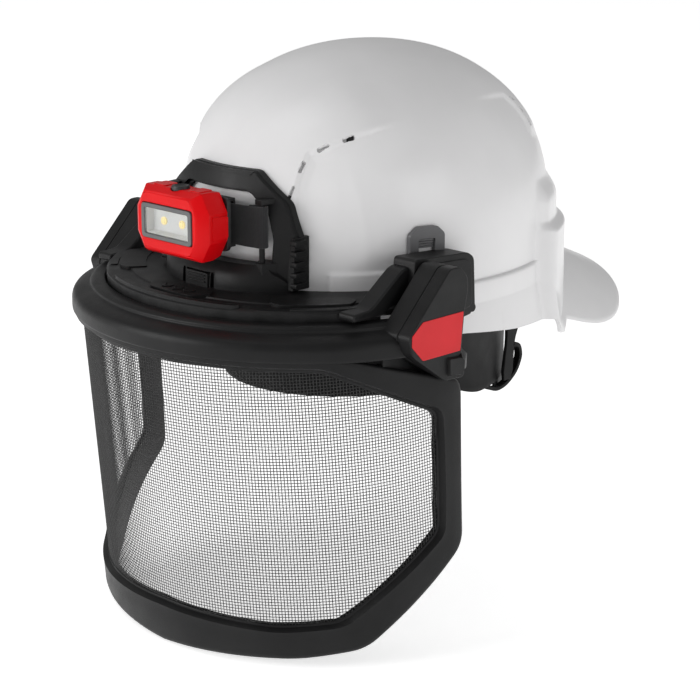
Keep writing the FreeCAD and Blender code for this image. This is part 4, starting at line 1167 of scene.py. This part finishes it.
def make_headlamp():
    """The red lamp: a chamfered eight-sided body, grey bezel, white tray with two diodes behind a clear lens."""
    bm = bmesh.new()
    skins = skin_loops(bm, [octagon(scale, y) for y, scale in LAMP_LOFT])
    bm.faces.new(skins[-1])
    opening = rectangle(*BEZEL_HALF, 2.0)
    outline = radial([(p[0], p[2]) for p in octagon(LAMP_LOFT[0][1], 0.0)], LAMP_CENTRE, 96)
    hole = radial(opening, LAMP_CENTRE, 96)
    rim = bmesh.new()
    rows = skin_loops(rim, [[(u, LAMP_FRONT_Y, v) for u, v in outline], [(u, LAMP_FRONT_Y, v) for u, v in hole],
                            [(u, LAMP_FRONT_Y + 8.0, v) for u, v in hole]])
    rim.faces.new(rows[-1])
    merge(bm, rim)
    body = make_piece("lamp_body_red", bm, "headlamp", "red_plastic", ["lamp_body"], bevel=0.55, segments=2)
    well = bmesh.new()
    add_rod(well, (SWITCH_X, SWITCH_Y, LAMP_MID_Z + 15.0), (SWITCH_X, SWITCH_Y, LAMP_MID_Z + 26.0), 6.1, 40)
    cut_away(body, well)

    bm = bmesh.new()
    for _, place in SIDES:
        add_slab(bm, fillet([(-167, 62.5), (-154.5, 63.5), (-154.5, 76.5), (-167, 77.5)], 1.0, 3), 31.0, 32.5, place)
    for low, high in ((-22.0, -9.0), (-5.0, 18.0)):
        add_plate(bm, (low, high, -173.2, -171.0), 0.8, 86.0, 88.6)
    for low, high in ((-20, -9), (13, 22)):
        add_plate(bm, (low, high, -168, -157), 1.5, 90.6, 91.5)
    make_piece("lamp_body_ribs", bm, "headlamp", "red_plastic", bevel=0.4)

    bm = bmesh.new()
    outer = rectangle(22.5, 10.7, 2.6)
    inner = rectangle(19.5, 8.1, 1.0)
    add_window(bm, radial(outer, LAMP_CENTRE, 120), radial(inner, LAMP_CENTRE, 120),
               LAMP_FRONT_Y - 0.8, LAMP_FRONT_Y + 7.0, place_xz)
    make_piece("lamp_bezel_ring", bm, "headlamp", "bezel_grey", ["lamp_bezel"], bevel=0.4)

    bm = bmesh.new()
    rows = skin_loops(bm, [[(u, LAMP_FRONT_Y + depth, v) for u, v in rectangle(a, b, 1.2)]
                           for a, b, depth in TRAY_LEVELS])
    bm.faces.new(rows[-1])
    make_piece("lamp_tray", bm, "headlamp", "reflector_white", ["lamp_reflector"], sharp=30.0)

    bm = bmesh.new()
    for x in (-DIODE_X, DIODE_X):
        add_rod(bm, (x, LAMP_FRONT_Y + 6.2, LAMP_MID_Z), (x, LAMP_FRONT_Y + 5.2, LAMP_MID_Z), 2.5, 24)
        chip = rect(x - 1.5, x + 1.5, LAMP_MID_Z - 1.5, LAMP_MID_Z + 1.5)
        add_slab(bm, chip, LAMP_FRONT_Y + 4.6, LAMP_FRONT_Y + 5.4, place_xz)
    make_piece("lamp_diodes", bm, "headlamp", "led_yellow", ["lamp_leds"], bevel=0.2)

    bm = bmesh.new()
    add_slab(bm, rectangle(19.4, 8.0, 1.0), LAMP_FRONT_Y - 0.3, LAMP_FRONT_Y + 0.7, place_xz)
    make_piece("lamp_window", bm, "headlamp", "lens_clear", ["lamp_lens"], bevel=0.2)

    bm = bmesh.new()
    add_plate(bm, (-29, 29, 53.2, 87), 5.0, LAMP_BACK_Y + 0.1, LAMP_BACK_Y + 3.2, place_xz, 5)
    add_slab(bm, rect(-6, 6, 47.6, 54), -149.6, -146.0, place_xz)
    add_rod(bm, (-6, -146.5, 49.5), (6, -146.5, 49.5), 2.9, 24)
    for k in range(4):
        x = -18.0 + 12.0 * k
        add_slab(bm, rect(x - 3, x + 3, 58, 82), -149.2, -148.3, place_xz)
    make_piece("lamp_back_plate", bm, "headlamp", "lamp_black", ["lamp_back"], bevel=0.6)

    bm = bmesh.new()
    add_skin(bm, [[(SWITCH_X + radius * math.cos(t), SWITCH_Y + radius * math.sin(t), z) for t in turns(40)]
                  for radius, z in SWITCH_LEVELS])
    make_piece("lamp_switch_cap", bm, "lamp_switch", "lamp_black", ["lamp_button"], sharp=50.0)


def make_lamp_strap():
    """Wide elastic from the bracket to each post, folded back on itself round the post."""
    bm = bmesh.new()
    for mirror in (1.0, -1.0):
        path = [Vector(p) for p in fillet(STRAP_PATH, 2.0, 4, closed=False)]
        loops = []
        for k, spot in enumerate(path):
            ahead = path[min(k + 1, len(path) - 1)] - path[max(k - 1, 0)]
            side = Vector((-ahead.y, ahead.x)).normalized() * STRAP_THICK / 2
            bulge = 0.3 * math.sin(math.pi * k / (len(path) - 1))
            loop = []
            for edge, z in ((1, STRAP_LOW_Z), (1, STRAP_TOP_Z), (-1, STRAP_TOP_Z), (-1, STRAP_LOW_Z)):
                at = spot + side * edge
                loop.append((mirror * at.x, at.y, z + (bulge if z == STRAP_TOP_Z else -bulge)))
            loops.append(loop)
        add_skin(bm, loops)
    add_slab(bm, rect(-20.5, 20.5, -140.7, -139.1), STRAP_LOW_Z, STRAP_TOP_Z)
    make_piece("lamp_elastic", bm, "helmet", "webbing_black", ["lamp_strap"], bevel=0.35, segments=2)


# ---------------------------------------------------------------- suspension and ratchet
def band_point(angle, out, z):
    """A point on the headband's ellipse; angle 0 is the front."""
    return ((BAND_HALF_WIDTH + out) * math.sin(angle), -(BAND_HALF_LENGTH + out) * math.cos(angle), z)


def make_headband():
    bm = bmesh.new()
    half = math.radians(157.0)
    loops = []
    for t in sweep(160):
        angle = half * t
        dip = -12.0 * smooth_step(1.3, 1.8, abs(angle)) * (1.0 - smooth_step(2.3, 2.7, abs(angle)))
        loops.append([band_point(angle, out, z) for out, z in
                      ((0.1, -48.0 + dip), (BAND_THICK, -48.0 + dip), (BAND_THICK, -44.5 + dip), (1.2, -43.5 + dip),
                       (1.2, -18.5), (BAND_THICK, -17.5), (BAND_THICK, -14.0), (0.1, -14.0))])
    add_skin(bm, loops)
    make_piece("headband_moulding", bm, "helmet", "suspension_black", ["headband"], bevel=0.3, segments=2)


def make_crown_straps():
    """Two crossed webbing straps under the crown, from key to key."""
    for name, out, turn in (("crown_strap_lower", -26.8, 47.0), ("crown_strap_upper", -25.2, -47.0)):
        heading = Vector((-math.sin(math.radians(turn)), math.cos(math.radians(turn))))
        side = Vector((-heading.y, heading.x))
        bm = bmesh.new()
        add_skin(bm, [[strap_point(heading, side, across, t, out + lift)
                       for across, lift in ((-9.0, 0.0), (9.0, 0.0), (9.0, -1.2), (-9.0, -1.2))]
                      for t in sweep(90)])
        make_piece(name.replace("crown_strap", "crown_webbing"), bm, "helmet", "webbing_black", [name], bevel=0.3,
                   segments=2)


def strap_point(heading, side, across, t, out):
    """A point of a strap that runs over the head under the dome moved in by `out`; t goes from end to end."""
    a, b = DOME_HALF_WIDTH + out, DOME_HALF_LENGTH + out
    scale = 1.0 / math.sqrt((heading.x / a) ** 2 + (heading.y / b) ** 2)
    arc = abs(t) * CROWN_STRAP_SPAN
    top = DOME_HEIGHT + out
    turn = min(arc / CROWN_STRAP_ARC, 1.0) * math.pi / 2
    share = math.sin(turn) ** (2.0 / DOME_POWER)
    z = DOME_BASE_Z + top * max(math.cos(turn), 0.0) ** (2.0 / DOME_POWER)
    if arc > CROWN_STRAP_ARC:
        z = DOME_BASE_Z - (arc - CROWN_STRAP_ARC)
        share = 1.0
    reach = math.copysign(share * scale, t)
    return (heading.x * reach + side.x * across, heading.y * reach + side.y * across, z)


def make_rear_fittings():
    """Hangers at the back of the band, and the loop under it that carries the nape pad."""
    for side, mirror in (("left", 1.0), ("right", -1.0)):
        bm = bmesh.new()
        add_skin(bm, [[(mirror * (x + a * thick), low_y if b < 0 else high_y, z) for a, b in rect(-0.5, 0.5, -1, 1)]
                      for z, x, low_y, high_y, thick in HANGER_LEVELS])
        loops = []
        path = fillet(LOOP_PATH, 6.0, 5, closed=False)
        for k, (y, z) in enumerate(path):
            ahead = Vector(path[min(k + 1, len(path) - 1)]) - Vector(path[max(k - 1, 0)])
            off = Vector((-ahead.y, ahead.x)).normalized() * 1.4
            x = 78.0 - 3.5 * k / len(path)
            loops.append([(mirror * (x + a), y + b * off.x, z + b * off.y) for a, b in rect(-2.6, 2.6, -1, 1)])
        add_skin(bm, loops)
        make_piece("hanger_moulding_" + side, bm, "helmet", "suspension_black", ["rear_hanger_" + side], bevel=0.5)

    bm = bmesh.new()
    loops = []
    for t in sweep(90):
        angle = math.pi + math.radians(64.0) * t
        lift = 10.5 * smooth_step(0.45, 0.95, abs(t))
        loops.append([band_point(angle, out, z) for out, z in
                      ((-1.0, lift - 75.5), (0.8, lift - 75.5), (0.8, 0.4 * lift - 61.5), (-1.0, 0.4 * lift - 61.5))])
    add_skin(bm, loops)
    add_slab(bm, fillet([(-13, -64), (13, -64), (16, -56), (-16, -56)], 2.0, 3), 100.9, 102.9, place_xz)
    make_piece("nape_loop", bm, "helmet", "suspension_black", ["nape_band"], bevel=0.4, segments=2)


def make_ratchet():
    """Housing, cover with stepped rim, and the ribbed size knob."""
    bm = bmesh.new()
    add_plate(bm, (-30, 30, -58, -22), 8.0, 96.2, 103.9, place_xz, 6)
    make_piece("ratchet_case", bm, "helmet", "suspension_black", ["ratchet_housing"], bevel=0.8)
    bm = bmesh.new()
    add_plate(bm, (-28, 28, -56, -24), 7.0, 103.8, 105.4, place_xz, 6)
    ring = [(21.5 * math.cos(t), KNOB_Z + 15.5 * math.sin(t)) for t in turns(60)]
    add_slab(bm, ring, 105.0, 106.4, place_xz)
    make_piece("ratchet_lid", bm, "helmet", "suspension_black", ["ratchet_cover"], bevel=0.5)
    bm = bmesh.new()
    loops = []
    for radius, y, depth in KNOB_LEVELS:
        loop = []
        for t in turns(KNOB_RIBS * 10):
            r = radius - depth * (0.5 + 0.5 * math.cos(KNOB_RIBS * t)) ** 2
            loop.append((r * math.cos(t), y, KNOB_Z + r * math.sin(t)))
        loops.append(loop)
    add_skin(bm, loops)
    add_rod(bm, (0.0, 97.2, KNOB_Z), (0.0, 107.6, KNOB_Z), 2.9, 24)
    make_piece("ratchet_dial", bm, "ratchet", "suspension_black", ["ratchet_knob"], sharp=42.0)


# ---------------------------------------------------------------- padded pieces
def band_pad(centre, half_angle, low_z, high_z, out, thick):
    """A closed strip of foam that follows the headband's inside."""
    bm = bmesh.new()
    loops = []
    middle = (low_z + high_z) / 2.0
    for t in sweep(60):
        angle = centre + half_angle * t
        end = 1.0 - 0.35 * smooth_step(0.8, 1.0, abs(t))
        half = (high_z - low_z) / 2.0 * end
        loops.append([band_point(angle, o, middle + s * half) for o, s in
                      ((out, -1), (out, 0), (out, 1), (out + thick, 1), (out + thick, 0), (out + thick, -1))])
    add_skin(bm, loops)
    return bm


def crown_cap():
    bm = bmesh.new()
    loops = []
    for out, share in ((-31.2, 0.02), (-31.2, 0.5), (-31.2, 0.96), (-28.9, 0.96), (-28.9, 0.5), (-28.9, 0.02)):
        loop = []
        for t in turns(48):
            x, y = 33.0 * share * math.cos(t), 37.0 * share * math.sin(t)
            plan = math.sqrt((x / (DOME_HALF_WIDTH + out)) ** 2 + (y / (DOME_HALF_LENGTH + out)) ** 2)
            z = DOME_BASE_Z + (DOME_HEIGHT + out) * (1.0 - plan ** DOME_POWER) ** (1.0 / DOME_POWER)
            loop.append((x, y, z))
        loops.append(loop)
    add_skin(bm, loops)
    return bm


def make_pad(name, bm, replaced, slot, seam):
    """Puffs a thin closed form into a foam pad by cloth simulation, then presses its stitched channels in."""
    pad = make_piece(name, bm, "helmet", slot, [replaced], sharp=180.0)
    body = pad.modifiers.new("body", "REMESH")
    body.mode = "VOXEL"
    body.voxel_size = PAD_VOXEL * MM
    bake_modifiers(pad)
    start = np.array([v.co for v in pad.data.vertices])
    cloth = pad.modifiers.new("puff", "CLOTH")
    cloth.settings.use_pressure = True
    cloth.settings.uniform_pressure_force = PAD_PRESSURE
    cloth.settings.effector_weights.gravity = 0.0
    cloth.settings.tension_stiffness = 20.0
    cloth.settings.compression_stiffness = 20.0
    for step in range(1, PAD_STEPS + 1):
        bpy.context.scene.frame_set(step)
    bake_modifiers(pad)
    bpy.context.scene.frame_set(1)
    end = np.array([v.co for v in pad.data.vertices])
    move = end - start
    length = np.linalg.norm(move, axis=1)
    keep = np.minimum(1.0, PAD_SWELL * MM / np.maximum(length, 1e-9))
    shape = start + move * keep[:, None]
    shape = start + (shape - start) * seam(start / MM)[:, None]
    pad.data.vertices.foreach_set("co", shape.astype(np.float32).ravel())
    pad.data.update()
    smoothing = pad.modifiers.new("smoothing", "SUBSURF")
    smoothing.levels = 1
    smoothing.render_levels = 1
    for polygon in pad.data.polygons:
        polygon.use_smooth = True


def band_seams(points):
    """Close to 0 along the sewn channels across a band pad, 1 between them."""
    angle = np.arctan2(points[:, 0], -points[:, 1])
    across = np.abs(((np.degrees(angle) / PAD_CHANNEL_DEGREES) % 1.0) - 0.5)
    return 1.0 - 0.9 * np.exp(-(across / 0.07) ** 2)


def crown_seams(points):
    radius = np.hypot(points[:, 0], points[:, 1])
    return 1.0 - 0.9 * np.exp(-((radius - 17.0) / 1.6) ** 2)


# ---------------------------------------------------------------- the whole object
materials = make_materials()
slots = {entry["node"]: entry["material_slot"] for entry in frame["record"]["subparts"]}
for name, obj in nodes.items():
    obj.data.materials.clear()
    obj.data.materials.append(materials[slots[name]])

make_shell()
make_shield_frame()
make_mesh_wires()
make_brim_guard()
for side, place in SIDES:
    make_arm(side, place)
    make_carrier(side, place)
    make_strap_clip(side, place)
make_lamp_mount()
make_headlamp()
make_lamp_strap()
make_headband()
make_crown_straps()
make_rear_fittings()
make_ratchet()
brow = band_pad(0.0, math.radians(70.0), -45.0, -17.0, -3.2, 2.0)
make_pad("brow_cushion", brow, "brow_pad", "foam_black", band_seams)
nape = band_pad(math.pi, math.radians(45.0), -73.2, -62.8, -4.2, 2.2)
make_pad("nape_cushion", nape, "nape_pad", "webbing_black", band_seams)
make_pad("crown_cushion", crown_cap(), "crown_pad", "foam_black", crown_seams)

make_stage()
light_studio()
make_camera()
